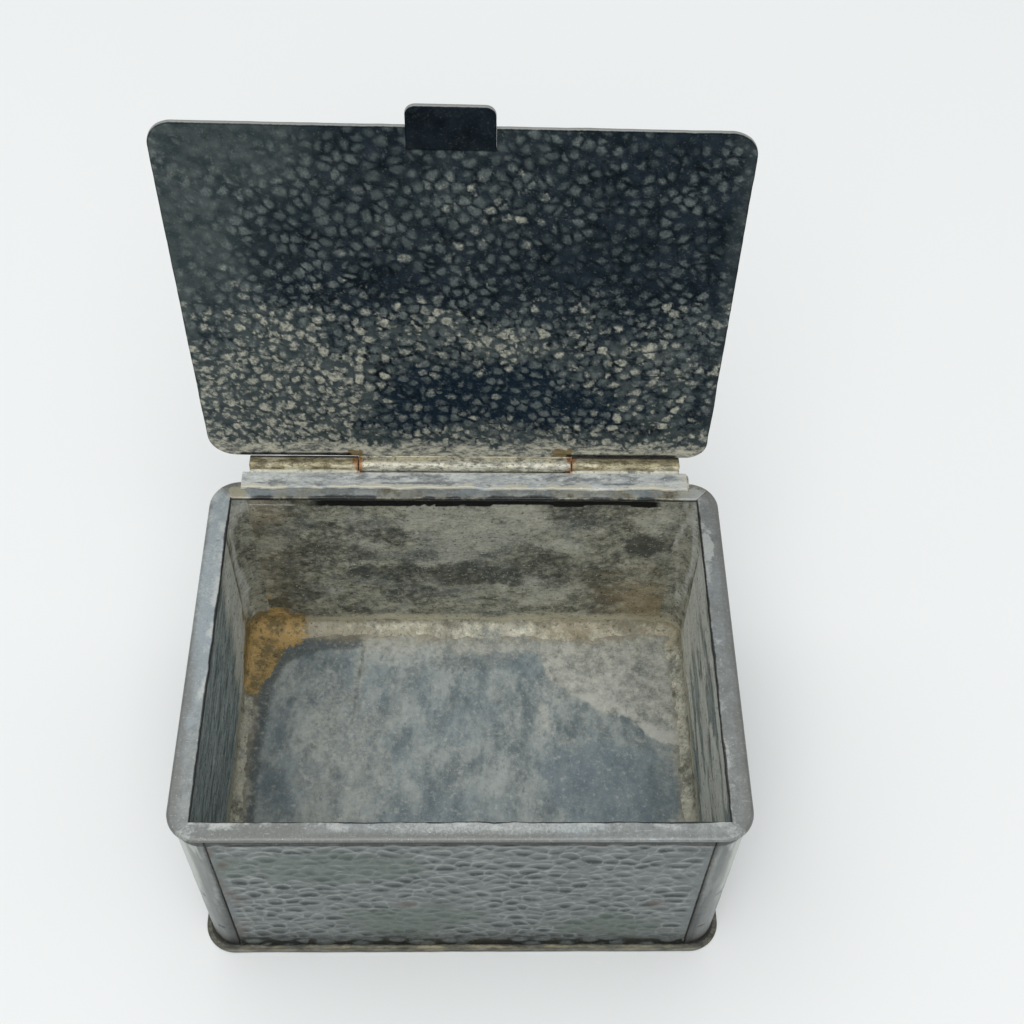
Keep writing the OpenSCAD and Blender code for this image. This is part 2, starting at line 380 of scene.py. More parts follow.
def hammered_look():
    """Outside of the walls: grey pewter. The upper half of each hammer mark has a painted highlight and its
    lower half painted shade.
    """
    k = Look("hammered_pewter")
    k.ground(k.noise(9.0, 4.0), 0.3, 0.7, (0.129, 0.148, 0.145), (0.173, 0.195, 0.192))
    k.layer("hollow", (0.045, 0.055, 0.056), 1.0, 0.2, 0.5, 0.92)
    k.layer("ridge", (0.37, 0.405, 0.393), 1.0, 0.2, 0.5, 0.85)
    k.layer("green", (0.105, 0.138, 0.115), 1.6, 0.3, 0.5, 0.6)
    k.layer("brown", (0.12, 0.09, 0.075), 0.8, 0.5, 0.5, 0.6)
    k.layer("band", (0.26, 0.28, 0.27), 0.8, 0.3, 0.4, 0.6)
    # dark joints and the foot's seam, with the painted shadow under the rim
    k.layer("seam", (0.02, 0.022, 0.019), 0.8, 0.4, 0.45, 0.92)
    k.speckle((0.32, 0.345, 0.33), 0.6, 0.56, 0.76, 0.4)
    k.speckle((0.07, 0.08, 0.077), 0.8, 0.56, 0.76, 0.4, shift=12.0)
    return k.finish(k.uneven(k.noise(2.5, 3.0, shift=2.0), 0.3, 0.2), 0.8, k.noise(0.35, 2.0), 0.03)


def inside_look():
    """Inside of the walls: rough olive-grey crust with dark cracks and lime, slate-blue on the side walls,
    painted lighter towards the back; painted shadow in the gap under the back rim, with painted light through
    it.
    """
    k = Look("inside_patina")
    crust = k.noise(3.2, 8.0, (1.3, 1.3, 1.0), rough=0.82)
    k.ground(crust, 0.34, 0.66, (0.075, 0.078, 0.056), (0.52, 0.51, 0.405))
    k.layer("blue", (0.13, 0.165, 0.175), 1.2, 0.6, 0.5, 0.8)
    k.layer("pale", (0.6, 0.595, 0.51), 1.0, 0.7, 0.5, 0.75)
    k.layer("dark", (0.045, 0.05, 0.043), 1.6, 0.9, 0.45, 0.85)
    k.layer("brown", (0.34, 0.25, 0.12), 1.2, 0.5, 0.5, 0.75)
    streak = k.noise(1.5, 7.0, (1, 6, 1), 3.0, 0.78)
    slate = k.blend(streak, 0.34, 0.66, (0.08, 0.115, 0.13), (0.56, 0.65, 0.66))
    # slate and light carry painted shade and painted light on the side walls as well as their own colours
    k.layer("slate", slate, 1.0, 0.3, 0.3, 0.95, (1, 4, 1))
    light = k.blend(streak, 0.3, 0.7, (0.6, 0.63, 0.57), (0.97, 0.98, 0.93))
    k.layer("light", light, 1.0, 0.3, 0.4, 0.95, (1, 4, 1))
    k.layer("cream", (0.6, 0.56, 0.41), 1.0, 0.6, 0.5, 0.8)
    k.layer("rust", rust_colour(k), 1.6, 0.6, 0.3, 0.92)
    k.speckle((0.74, 0.73, 0.62), 0.6, 0.6, 0.74, 0.7)
    k.speckle((0.03, 0.032, 0.027), 0.8, 0.58, 0.7, 0.8, (1.3, 1.3, 1), 9.0)
    # painted shadow in the gap under the back rim, and painted light showing through it at the left
    k.layer("gap", (0.004, 0.004, 0.003), 0.8, 0.2, 0.25)
    k.layer("slot", (0.9, 0.92, 0.91), 0.6, 0.2, 0.2)
    return k.finish(0.66, 0.12, k.noise(0.9, 5.0, shift=4.0), 0.4, 0.3)


def rust_colour(k):
    """Rust and brown dirt in patches, with darker crusts."""
    broad = k.noise(4.5, 6.0, shift=1.5, rough=0.75)
    colour = k.blend(broad, 0.42, 0.58, (0.62, 0.42, 0.16), (0.25, 0.195, 0.085))
    colour = k.mix(k.specks(1.8, 0.56, 0.75, shift=6.0), colour, (0.68, 0.5, 0.24))
    return k.mix(k.specks(2.0, 0.57, 0.7, 0.7, shift=11.0), colour, (0.09, 0.08, 0.05))


def floor_look():
    """Inside bottom: blue-grey pewter with lime along the walls; the ledge outside is brass-brown with a
    painted highlight along its edge.
    """
    k = Look("floor_patina")
    k.ground(k.noise(6.0, 8.0, (1, 1.6, 1), rough=0.72), 0.32, 0.68, (0.15, 0.19, 0.205), (0.48, 0.525, 0.51))
    k.layer("blue", (0.19, 0.255, 0.3), 1.5, 0.5, 0.5, 0.62)
    k.layer("dark", (0.105, 0.13, 0.135), 0.8, 0.5, 0.5, 0.85)
    lime = k.blend(k.noise(3.0, 7.0, rough=0.8, shift=1.0), 0.33, 0.67, (0.22, 0.23, 0.2), (0.72, 0.71, 0.63))
    k.layer("pale", lime, 1.6, 0.7, 0.5, 0.85)
    k.layer("white", (0.68, 0.69, 0.64), 1.0, 0.8, 0.55, 0.7)
    k.layer("brown", (0.33, 0.27, 0.17), 1.2, 0.6, 0.5, 0.7)
    k.layer("rust", rust_colour(k), 1.6, 0.6, 0.3, 0.92)
    k.speckle((0.66, 0.68, 0.63), 0.7, 0.6, 0.76, 0.55)
    k.speckle((0.64, 0.66, 0.62), 2.2, 0.56, 0.76, 0.5, shift=15.0)
    k.speckle((0.11, 0.135, 0.145), 1.3, 0.58, 0.76, 0.5, (1, 2, 1), 8.0)
    brass = k.blend(k.noise(2.0, 5.0, (3, 1, 1), 4.0), 0.3, 0.7, (0.045, 0.049, 0.04), (0.205, 0.198, 0.155))
    k.layer("ledge", brass, 0.6, 0.3, 0.2, 0.97)
    # painted highlight along the ledge's top edge
    k.layer("shine", (0.42, 0.37, 0.23), 0.9, 0.9, 0.4, 0.8, (3, 1, 1))
    k.layer("line", (0.012, 0.012, 0.01), 0.7, 0.6, 0.4, 0.9)
    rough = k.uneven(k.noise(3.0, 4.0, shift=7.0), 0.42, 0.25, 0.25, 0.75)
    return k.finish(rough, 0.2, k.noise(0.7, 4.0, shift=3.0), 0.1, 0.4)


def base_look():
    """Underside of the base: plain worn pewter."""
    k = Look("base_pewter")
    k.ground(k.noise(8.0, 5.0, rough=0.65), 0.3, 0.7, (0.1, 0.105, 0.095), (0.17, 0.175, 0.16))
    k.layer("worn", (0.3, 0.31, 0.3), 0.8, 0.6, 0.35, 0.7)
    k.speckle((0.05, 0.05, 0.045), 1.2, 0.58, 0.72)
    scratch = k.noise(0.5, 2.0, (14, 1, 1), 2.0)
    k.colour = k.mix(k.ramp(scratch, 0.62, 0.72, 0.3), k.colour, (0.35, 0.36, 0.35))
    return k.finish(0.45, 0.5, scratch, 0.02)


def strip_look():
    """Corner strips: smooth pewter with a painted reflection of light and dark stripes, streaked from top to
    bottom.
    """
    k = Look("smooth_pewter")
    streak = k.noise(1.6, 4.0, (1, 1, 7))
    k.ground(streak, 0.3, 0.7, (0.15, 0.162, 0.154), (0.28, 0.298, 0.28))
    k.layer("blue", (0.115, 0.133, 0.135), 1.0, 0.4, 0.5, 0.8, (1, 1, 4))
    k.layer("pale", (0.52, 0.54, 0.505), 0.8, 0.4, 0.5, 0.8, (1, 1, 5))
    k.layer("brown", (0.14, 0.12, 0.09), 0.8, 0.5, 0.4, 0.6)
    k.layer("dark", (0.02, 0.022, 0.022), 0.8, 0.4, 0.5, 0.95, (1, 1, 2))
    return k.finish(k.uneven(streak, 0.28, 0.2), 0.7, k.noise(0.5), 0.02)


def rim_look():
    """Rim: bluish and warm greys, whitish wear towards its inner edge, fine scratches, and painted shadow
    along its inner edge and underneath.
    """
    k = Look("rim_pewter")
    cloud = k.noise(3.0, 6.0, rough=0.7)
    k.ground(cloud, 0.3, 0.7, (0.17, 0.185, 0.182), (0.3, 0.32, 0.312))
    k.layer("blue", (0.3, 0.345, 0.37), 0.9, 0.6, 0.5, 0.85)
    k.layer("warm", (0.155, 0.158, 0.145), 0.8, 0.4, 0.5, 0.75)
    k.layer("white", (0.5, 0.525, 0.505), 0.6, 0.9, 0.5, 0.75)
    k.layer("dark", (0.018, 0.019, 0.018), 0.6, 0.3, 0.3, 0.92)
    k.layer("cream", (0.42, 0.39, 0.28), 0.6, 0.5, 0.4, 0.8)
    k.speckle((0.6, 0.62, 0.6), 0.5, 0.63, 0.77)
    k.speckle((0.09, 0.095, 0.095), 0.6, 0.6, 0.76, 0.5, shift=8.0)
    scratch = k.noise(0.35, 2.0, (9, 1, 1), 2.0)
    k.colour = k.mix(k.ramp(scratch, 0.66, 0.74, 0.35), k.colour, (0.5, 0.52, 0.5))
    return k.finish(k.uneven(cloud, 0.36, 0.2), 0.5, k.noise(0.5), 0.03)


def lid_inside_look():
    """Underside of the lid: near-black ground, grey lumps, and crusts of lime on some of them, with a painted
    shadow line at the hinge edge.
    """
    k = Look("lid_inside")
    crust = k.noise(0.9, 6.0, (1, 1, 1.25), rough=0.75, shift=2.0)
    k.ground(k.noise(5.0, 4.0), 0.3, 0.7, (0.005, 0.01, 0.014), (0.017, 0.026, 0.035))
    k.layer("navy", (0.008, 0.018, 0.03), 2.0, 0.6, 0.5, 0.8)
    haze = k.blend(k.noise(3.5, shift=4.0), 0.3, 0.7, (0.035, 0.048, 0.05), (0.075, 0.09, 0.09))
    k.layer("haze", haze, 2.2, 0.3, 0.4, 0.95)
    grey = k.blend(crust, 0.3, 0.7, (0.05, 0.064, 0.067), (0.155, 0.177, 0.172))
    k.layer("top", grey, 0.55, 0.5, 0.42, 0.95)
    lime = k.blend(crust, 0.34, 0.64, (0.12, 0.13, 0.115), (0.48, 0.475, 0.385))
    k.layer("pale", lime, 0.6, 0.75, 0.42, 0.95)
    cloud = k.noise(1.1, 6.0, (2, 1, 1), 6.0, 0.75)
    k.layer("cream", k.blend(cloud, 0.36, 0.62, (0.08, 0.09, 0.09), (0.5, 0.485, 0.39)), 0.8, 0.6, 0.35, 0.95)
    k.layer("rust", (0.16, 0.11, 0.035), 0.8, 0.5, 0.25, 0.8)
    k.layer("groove", (0.003, 0.004, 0.005), 0.5, 0.2, 0.45, 0.9)
    k.layer("worn", (0.36, 0.37, 0.35), 0.7, 0.4, 0.35, 0.8)
    return k.finish(0.8, 0.0, crust, 0.16, 0.02)


def lid_outside_look():
    """Outside of the lid: hammered like the walls, with painted highlight and painted shade by the slope of
    each mark, worn bright at the edge.
    """
    k = Look("lid_pewter")
    k.ground(k.noise(9.0), 0.3, 0.7, (0.12, 0.13, 0.13), (0.19, 0.205, 0.2))
    k.layer("hollow", (0.05, 0.06, 0.062), 1.0, 0.2, 0.5, 0.85)
    k.layer("ridge", (0.36, 0.39, 0.38), 1.0, 0.2, 0.5, 0.85)
    k.layer("worn", (0.36, 0.37, 0.35), 0.7, 0.5, 0.35, 0.8)
    k.speckle((0.06, 0.06, 0.055), 0.8, 0.62, 0.76, 0.4)
    return k.finish(k.uneven(k.noise(2.5, 3.0, shift=2.0), 0.32, 0.2), 0.6, k.noise(0.35, 2.0), 0.03)


def leaf_look():
    """Hinge leaf: light grey sheet with dark flecks and a cream, ragged front."""
    k = Look("hinge_leaf_metal")
    k.ground(k.noise(1.8, 7.0, (3, 1, 1), rough=0.78), 0.32, 0.68, (0.32, 0.35, 0.355), (0.72, 0.745, 0.72))
    k.layer("dark", (0.14, 0.155, 0.16), 0.6, 0.9, 0.5, 0.8, (2, 1, 1))
    k.layer("cream", (0.6, 0.575, 0.46), 0.7, 0.8, 0.4, 0.85)
    k.layer("rust", (0.42, 0.25, 0.09), 0.5, 0.5, 0.3, 0.9)
    k.speckle((0.84, 0.85, 0.81), 0.6, 0.6, 0.75)
    k.speckle((0.12, 0.13, 0.13), 0.6, 0.6, 0.74, 0.6, (2, 1, 1), 8.0)
    return k.finish(0.55, 0.2, k.noise(0.5), 0.08, 0.35)


def tube_look():
    """Hinge knuckles: pitted, brassy-cream tube with rust at the joints."""
    k = Look("hinge_tube_metal")
    streak = k.noise(0.9, 6.0, (2.2, 1, 1), rough=0.78)
    k.ground(streak, 0.38, 0.62, (0.12, 0.105, 0.055), (0.36, 0.32, 0.195))
    k.layer("bare", k.blend(streak, 0.36, 0.6, (0.15, 0.145, 0.115), (0.6, 0.59, 0.49)), 0.6, 0.5, 0.5)
    k.layer("pale", (0.6, 0.56, 0.41), 0.5, 0.7, 0.4, 0.8, (2, 1, 1))
    k.layer("rust", (0.28, 0.13, 0.04), 0.5, 0.5, 0.35, 0.9)
    k.speckle((0.06, 0.055, 0.04), 0.5, 0.55, 0.68, 0.8, (1.5, 1, 1), 8.0)
    k.layer("dark", (0.008, 0.007, 0.005), 0.5, 0.4, 0.5, 0.97, (2, 1, 1))
    return k.finish(0.45, 0.35, k.noise(0.5, 4.0), 0.08)


def solder_look():
    """Solder: cream, grey-olive and dark in patches."""
    k = Look("solder")
    k.ground(k.noise(2.6, 7.0, rough=0.78), 0.33, 0.67, (0.25, 0.255, 0.21), (0.85, 0.83, 0.69))
    k.layer("dark", (0.12, 0.122, 0.095), 1.0, 0.8, 0.5, 0.8)
    k.layer("blue", (0.24, 0.285, 0.3), 1.0, 0.7, 0.5, 0.75)
    k.layer("pale", (0.62, 0.6, 0.5), 0.8, 0.7, 0.4, 0.7)
    k.layer("brown", (0.42, 0.355, 0.235), 1.4, 0.7, 0.5, 0.7)
    k.layer("rust", rust_colour(k), 1.6, 0.6, 0.3, 0.92)
    k.speckle((0.7, 0.7, 0.62), 0.7, 0.58, 0.74)
    k.speckle((0.09, 0.095, 0.08), 0.9, 0.57, 0.72, 0.7, shift=9.0)
    return k.finish(0.6, 0.12, k.noise(0.8, 5.0), 0.3, 0.3)


def pin_look():
    """Hinge pin: rusty iron."""
    k = Look("pin_iron")
    cloud = k.noise(0.8, 4.0)
    k.ground(cloud, 0.35, 0.65, (0.08, 0.05, 0.035), (0.28, 0.13, 0.05))
    return k.finish(0.6, 0.4, cloud, 0.05)


# ---------------------------------------------------------------- walls

WALLS = (("front_panel", (0, -1), 11, 340), ("back_panel", (0, 1), 31, 300),
         ("right_panel", (1, 0), 51, 420), ("left_panel", (-1, 0), 71, 380))  # node, way out, seeds
RIM_SHADE, RIM_LINE = 4.1, 1.4   # height of the painted shadow line under the rim, at the front and elsewhere


def wall_panel(node, way_out, seed, stain_seed, looks):
    """One hammered wall, dented outside and rough inside."""
    low, high = cad(node)
    outward, sideways = np.array([*way_out, 0]), np.array([-way_out[1], way_out[0], 0])
    half = abs(sideways @ high)
    in_face, out_face = sorted((outward @ low, outward @ high))
    along, up = stops(-half, half, 0.8), stops(low[2], high[2], 0.8)

    def place(a, out, z):
        return a[..., None] * sideways + out[..., None] * outward + z[..., None] * np.array([0, 0, 1])

    a, z = net(along, up, FINE)
    end, foot, drop = half - np.abs(a), z - low[2], high[2] - z
    wide, tall = a + 2.2 * sway(a, z, 7, seed, 2), z + 1.6 * sway(a, z, 6, seed + 1, 2)
    level, gap, _, tone = marks(wide, tall, HAMMER, seed)
    strength = ramp(end, 0.3, 2.4) * ramp(drop, 2.4, 4.0) * ramp(foot, 2.0, 5.0)
    strength *= 0.85 + 0.35 * noise(a, z, 11, seed + 9)
    dent = 0.35 * (np.clip(level / 0.45, 0, 1) - 1) * (0.65 + 0.5 * tone) * strength
    lean = np.gradient(dent, axis=1) / np.gradient(z, axis=1)
    lump = marks(a + 1.5 * noise(a, z, 6, seed + 3), foot - 1.6, (5.6, 3.4), seed + 13, 0.9, 0.6)[2]
    lumps = ramp(foot, 3.6, 1.2) * ramp(lump, 0.55, 0.15)
    out = out_face - 0.04 + dent + 0.04 * sway(a, z, 11, seed + 2, 2)
    out += 0.3 * lumps + 0.25 * ramp(foot, 1.2, 0)
    edge = np.minimum(end, drop)
    wobble = sway(a, z, (6, 2.5), seed + 10)
    at_front = node == "front_panel"
    shade = RIM_SHADE if at_front else RIM_LINE
    spot = partial(blot, a, z)
    outer = {
        # Painted light by slope: a painted highlight on the upper half of each mark, on the ridges between
        # marks and on the tops of the foot's lumps; painted shade on the lower half.
        "ridge": 0.8 * ramp(lean, 0.0, 0.24) + 0.5 * ramp(gap, 0.22, 0.0) * strength
        + 0.3 * lumps * ramp(foot, 1.2, 2.4),
        "hollow": ramp(-lean, -0.02, 0.3),
        "green": spot((-12, 17), (16, 9), seed + 4) + spot((34, 12), (13, 7), seed + 5)
        + 0.8 * spot((-30, 46), (24, 8), seed + 14),
        "brown": ramp(a, 50, -50) * ramp(end + 2 * wobble, 6, 0)
        * patches(a, z, (2.5, 4), seed + 6, 0.35, 0.8, 3)
        + 0.8 * spot((43, 26), (3, 2.2), seed + 7) + 0.8 * spot((-13, 26), (2.6, 1.8), seed + 8),
        # Dark joint along the panel's edges, a painted shadow line under the rim, and darker towards the foot,
        # most between its lumps.
        "seam": most(
            ramp(edge, 0.5, 0.1) * (foot > 1), ramp(drop + 0.5 * wobble, shade, shade - 0.2),
            0.4 * ramp(foot + 4 * wobble, 9, 4),
            ramp(foot + 3.6 * wobble, 5.2, 2.2) * (0.3 + 0.65 * ramp(lump, 0.2, 0.5))),
        "band": 0.7 * ramp(np.abs(drop - RIM_SHADE - 0.5), 0.7, 0.3) * (end > 0.6) * at_front,
    }
    ac, zc = net(along, up)
    inner = in_face + 0.28 * sway(ac, zc, (5, 1.6), seed + 11, 4) * ramp(half - np.abs(ac), 0, 2)
    back = place(ac, inner, zc)
    sheet(node, BOX, place(a, out - rounding(edge, 0.3), z), back, outer,
          inside_masks(node, *np.moveaxis(back, -1, 0), stain_seed), looks)


def inside_masks(node, x, y, z, seed):
    """Stains on a wall's inner face, with painted shadow and painted light."""
    a = x if node in ("back_panel", "front_panel") else y
    streak = sway(a, z, (9, 2.2), seed + 1, 4)
    level = noise(a, z, (20, 3.5), seed + 4, 4)
    masks = {
        "dark": 0.55 * patches(a, z, (14, 9), seed, 0.45, 0.75),
        "pale": 0.6 * patches(a, z, (12, 8), seed + 2, 0.45, 0.8),
        "blue": 0.5 * patches(a, z, (9, 6), seed + 3, 0.45, 0.8),
        "cream": ramp(z + 5 * streak, 9.5, 3.5),
    }
    if node == "back_panel":
        spot = partial(blot, x, z)
        drop = z.max() - z
        stained_edge = spot((-50, 12.5), (6, 2.4), 312)
        masks["dark"] = most(
            masks["dark"] * ramp(x, 50, 35), 0.95 * stained_edge,
            0.6 * spot((-39, 37), (9, 7), 301), 0.75 * spot((3.7, 26), (13, 6), 302),
            0.95 * spot((46, 40), (6, 5), 303), 0.8 * spot((38, 14.5), (3.6, 2.0), 304),
            0.7 * spot((-20, 27), (12, 4), 305), 0.6 * spot((20, 31), (5, 7), 306))
        masks["pale"] = most(masks["pale"], 0.6 * spot((-1, 50), (22, 9), 307))
        masks["blue"] = most(masks["blue"], 0.8 * spot((38, 14.5), (4.4, 2.6), 308))
        masks["brown"] = 0.7 * ramp(x + 0.4 * z + 12 * streak, 30, 52) * ramp(z + 14 * streak, 34, 14)
        masks["brown"] += 0.15 * spot((-48, 53), (9, 6), 310) + 0.3 * ramp(x, -35, -50)
        masks["rust"] = rust_stain(x, y, z) * (1 - stained_edge)
        # Painted shadow in the gap under the back rim and the leaf; the slot is painted near-white as the
        # light that shows through the gap at its left end.
        masks["gap"] = (ramp(drop + 1.8 * sway(x, z * 0, 6, seed + 5, 4), 5.8, 5.5) * ramp(drop, 3.0, 3.8)
                        * ramp(x, 50, 44) * ramp(x, -44, -30))
        masks["slot"] = ramp(np.abs(drop - 5.15), 0.45, 0.25) * ramp(np.abs(x + 46.5), 6.5, 5.5)
    if node in ("left_panel", "right_panel"):
        # The side walls are painted lighter towards the back and higher up, partly their own cream colour and
        # partly painted light; the right wall gets more painted light and the left more dark slate, as light
        # falls from the left.
        behind = ramp(y + 10 * (level - 0.5) + 0.2 * (30 - z), 17, 29)
        shaded = 0.95 if node == "left_panel" else 0.65 * ramp(level, 0.5, 0.3)
        masks["slate"] = shaded * (1 - behind)
        masks["light"] = most(0.9 * behind, 0.8 * (node == "right_panel") * ramp(level, 0.3, 0.5))
        masks["dark"] = 0.6 * ramp(level, 0.3, 0.1) * (1 - behind)
    if node == "left_panel":
        masks["rust"] = rust_stain(x, y, z)
    return masks


def rust_stain(x, y, z):
    """Brown stain low in the back left corner, a wedge that narrows forwards, rightwards and upwards."""
    reach = ((x + 57).clip(0) / 15) ** 0.75 + ((45 - y).clip(0) / 18) ** 0.75 + z / 19
    return ramp(reach + 0.5 * sway(x + 0.5 * z, y - z, 4, 611, 4), 1.44, 1.28)


def corner_strip(node, sx, sy, seed, looks):
    """A strip bent round one upright corner."""
    low, high = cad(node)
    arc = CORNER_RADIUS * math.pi / 2
    length = arc + 2 * STRIP_LEG
    along, up = stops(0, length, 0.7, (0.15, 0.4)), stops(low[2], high[2], 1.2)
    middle = most(np.abs(low), np.abs(high)) - CORNER_RADIUS

    def surface(u, z, radius):
        turn = np.clip(u - STRIP_LEG, 0, arc)
        angle = math.pi / 2 - turn / CORNER_RADIUS
        slide = u - STRIP_LEG - turn
        x = middle[0] + radius * np.cos(angle) + np.minimum(slide, 0)
        y = middle[1] + radius * np.sin(angle) - np.maximum(slide, 0)
        return np.stack([sx * x, sy * y, z], -1)

    u, z = net(along, up, FINE)
    side, foot, drop = np.minimum(u, length - u), z - low[2], high[2] - z
    dings = sum(blot(u, z, (3 + 2.2 * k, 12 + 17 * k * k % 43), (1.1, 0.6), seed + k, 0.5) for k in range(4))
    lowness = ramp(z, 50, 12)
    shade = RIM_SHADE - 0.4 if sy < 0 else RIM_LINE
    outer = CORNER_RADIUS - rounding(side, 0.22) - rounding(drop, 0.2)
    outer += 0.22 * ramp(foot, 2.6, 0.4) * noise(u, z * 0, 3, seed + 1, 2)
    outer -= 0.1 * noise(u, z, (5, 11), seed) + 0.12 * np.clip(dings, 0, 1)
    painted_reflection = ramp(np.abs(u - 0.5 * length + 1.5 * sway(z, 0 * z, 14, seed + 8)), 2.4, 0.6)
    # Painted reflection on the curved strip: dark towards both edges and a light stripe down the middle.
    # Painted shadow under the rim at the top, and darker and bluer towards the bottom.
    masks = {
        "dark": most(ramp(side, 1.0, 0.2) * (0.6 + 0.4 * lowness), 0.9 * dings, 0.8 * ramp(foot, 3.4, 1.4),
                     0.7 * lowness * ramp(side, 3.4, 1.0), 0.9 * ramp(drop, shade, shade - 0.4)),
        "blue": most(patches(u, z, (2.2, 16), seed + 2, 0.45, 0.75, 3) * ramp(side, 5, 2), 0.8 * lowness),
        "pale": most(0.8 * patches(u, z, (1.8, 12), seed + 3, 0.55, 0.85, 3), painted_reflection) * (1 - 0.8 * lowness),
        "brown": ramp(foot, 16, 2) * noise(u, z, 4, seed + 4),
    }
    uc, zc = net(along, up)
    inner = {"cream": 0.9 * ramp(zc + 6 * sway(uc, zc, 5, seed + 5), 10, 4), "pale": 0.3,
             "dark": 0.5 * patches(uc, zc, (4, 9), seed + 6, 0.5, 0.8, 3),
             "light": 0.6 * patches(uc, zc, (4, 20), seed + 9, 0.4, 0.7, 3)}
    if (sx, sy) == (-1, 1):
        inner["rust"] = ramp(zc + 5 * sway(uc, zc, 4, seed + 7), 10.5, 8.0)
    sheet(node, BOX, surface(u, z, outer), surface(uc, zc, CORNER_RADIUS - STRIP_THICK),
          masks, inner, looks)


def base_plate():
    """Bottom plate: the floor inside, a thin rounded ledge outside."""
    low, high = cad("base_plate")
    x_lines, y_lines = (stops(-half, half, 0.9, (0.2, 0.5, 1.0)) for half in high[:2])

    def plan(parts):
        x, y, edge = round_corner(*net(x_lines, y_lines, parts), high, BASE_RADIUS)
        reach = 1 + 0.14 * sway(x, y, 9, 501) * ramp(edge, 3, 0) / np.hypot(x, y).clip(1)
        return x * reach, y * reach, edge

    x, y, edge = plan(FINE)
    inside = ramp(edge, 4.5, 7)
    crack = line_distance(x, y, [(-27, 43), (-27.6, 33), (-28.6, 24), (-29.6, 12)])
    top = high[2] - rounding(edge, 0.45) - 0.05 * noise(x, y, 7, 502, 4) * ramp(edge, 2, 0.5)
    top += (0.16 * sway(x, y, 22, 503) + 0.04 * sway(x, y, 2.2, 504) - 0.07 * ramp(crack, 0.45, 0.0)) * inside
    xb, yb, edge_b = plan(1)
    under = low[2] + rounding(edge_b, 0.35)
    worn = 1.6 * ramp(edge_b, 4, 0.5) * noise(xb, yb, 6, 511, 4)
    sheet("base_plate", BOX, np.stack([x, y, top], -1), np.stack([xb, yb, under], -1),
          floor_masks(x, y, edge, crack), {"worn": worn}, [floor_look(), base_look()])


def floor_masks(x, y, edge, crack):
    """Stains of the floor, seen from above."""
    spot = partial(blot, x, y)
    border = ((19, 45), (20, 33), (22, 26.5), (28, 21), (35, 17.5), (43, 15), (47, 10.5), (52, 7.5), (60, 7))
    past = y - np.interp(x + 2.4 * sway(x, y, 6, 522, 4), *zip(*border))
    beyond = ramp(past + 2.2 * sway(x, y, 3, 523), -0.5, 0.8) * (x > 17)
    front_rim = ramp(np.abs(past - 2.0), 3.2, 0.6) * beyond * ramp(x, 24, 34)
    bow = line_distance(x, y, [(-25, 38.3), (-36, 38), (-43, 36.6), (-48.5, 33.5), (-52, 28), (-53.5, 20),
                               (-54.5, 6), (-54.5, -30)])
    squiggle = line_distance(x, y, [(-41.5, 0.5), (-40.5, -1.5), (-38.5, -2.5), (-38.2, -4), (-39.6, -5)])
    rust = rust_stain(x, y, 0 * x)
    cracked = ramp(y, 5, 20)
    return {
        "ledge": ramp(edge, 4.0, 3.0),
        # painted highlight along the ledge's rounded top edge
        "shine": 0.8 * ramp(np.abs(edge - 0.9), 0.6, 0.1) * noise(x, y, 7, 541) * ramp(np.abs(x), 56, 50),
        "line": ramp(np.abs(edge - 1.7), 0.6, 0.2) * (0.4 + 0.6 * noise(x, y, 5, 543))
        + 0.45 * ramp(np.abs(x), 54, 58),
        "blue": most(0.55 * patches(x, y, 13, 521, 0.3, 0.7), spot((38, -4), (15, 17), 527)),
        "dark": most(1.1 * ramp(bow + 1.6 * sway(x, y, 4, 524), 3.6, 1.0), 3 * rust * (1 - rust),
                     0.8 * ramp(crack, 0.7, 0.2) * cracked,
                     0.45 * spot((2, 33), (13, 4), 528), 0.4 * spot((51, -8), (5, 14), 529)),
        "pale": most(0.85 * beyond, 0.75 * ramp(edge + 4.0 * sway(x, y, 6, 525, 4), 8.2, 5.2),
                     0.75 * ramp(y + 4 * sway(x, y, 6, 526, 4), 32, 37) * ramp(x, -30, -26),
                     0.6 * spot((20.3, 16), (1.6, 5), 530), 0.35 * spot((-30, 2), (16, 24), 531),
                     0.45 * ramp(crack, 3, 0.4) * cracked),
        "white": most(2.0 * front_rim * noise(x, y, 5, 532),
                      0.7 * ramp(squiggle + 0.8 * noise(x, y, 1.5, 542), 1.2, 0.4),
                      0.5 * spot((-18, 36), (12, 5), 533), 0.45 * spot((21, 14), (2.6, 6), 534),
                      0.4 * spot((30, 24), (11, 6), 535), 0.3 * spot((-35, 12), (9, 14), 539),
                      0.2 * spot((3, 38), (10, 5), 540)),
        "brown": most(0.8 * ramp(y + 4 * sway(x, y, 5, 536), 36, 42), 0.5 * ramp(edge, 8, 5.5)),
        "rust": rust,
    }


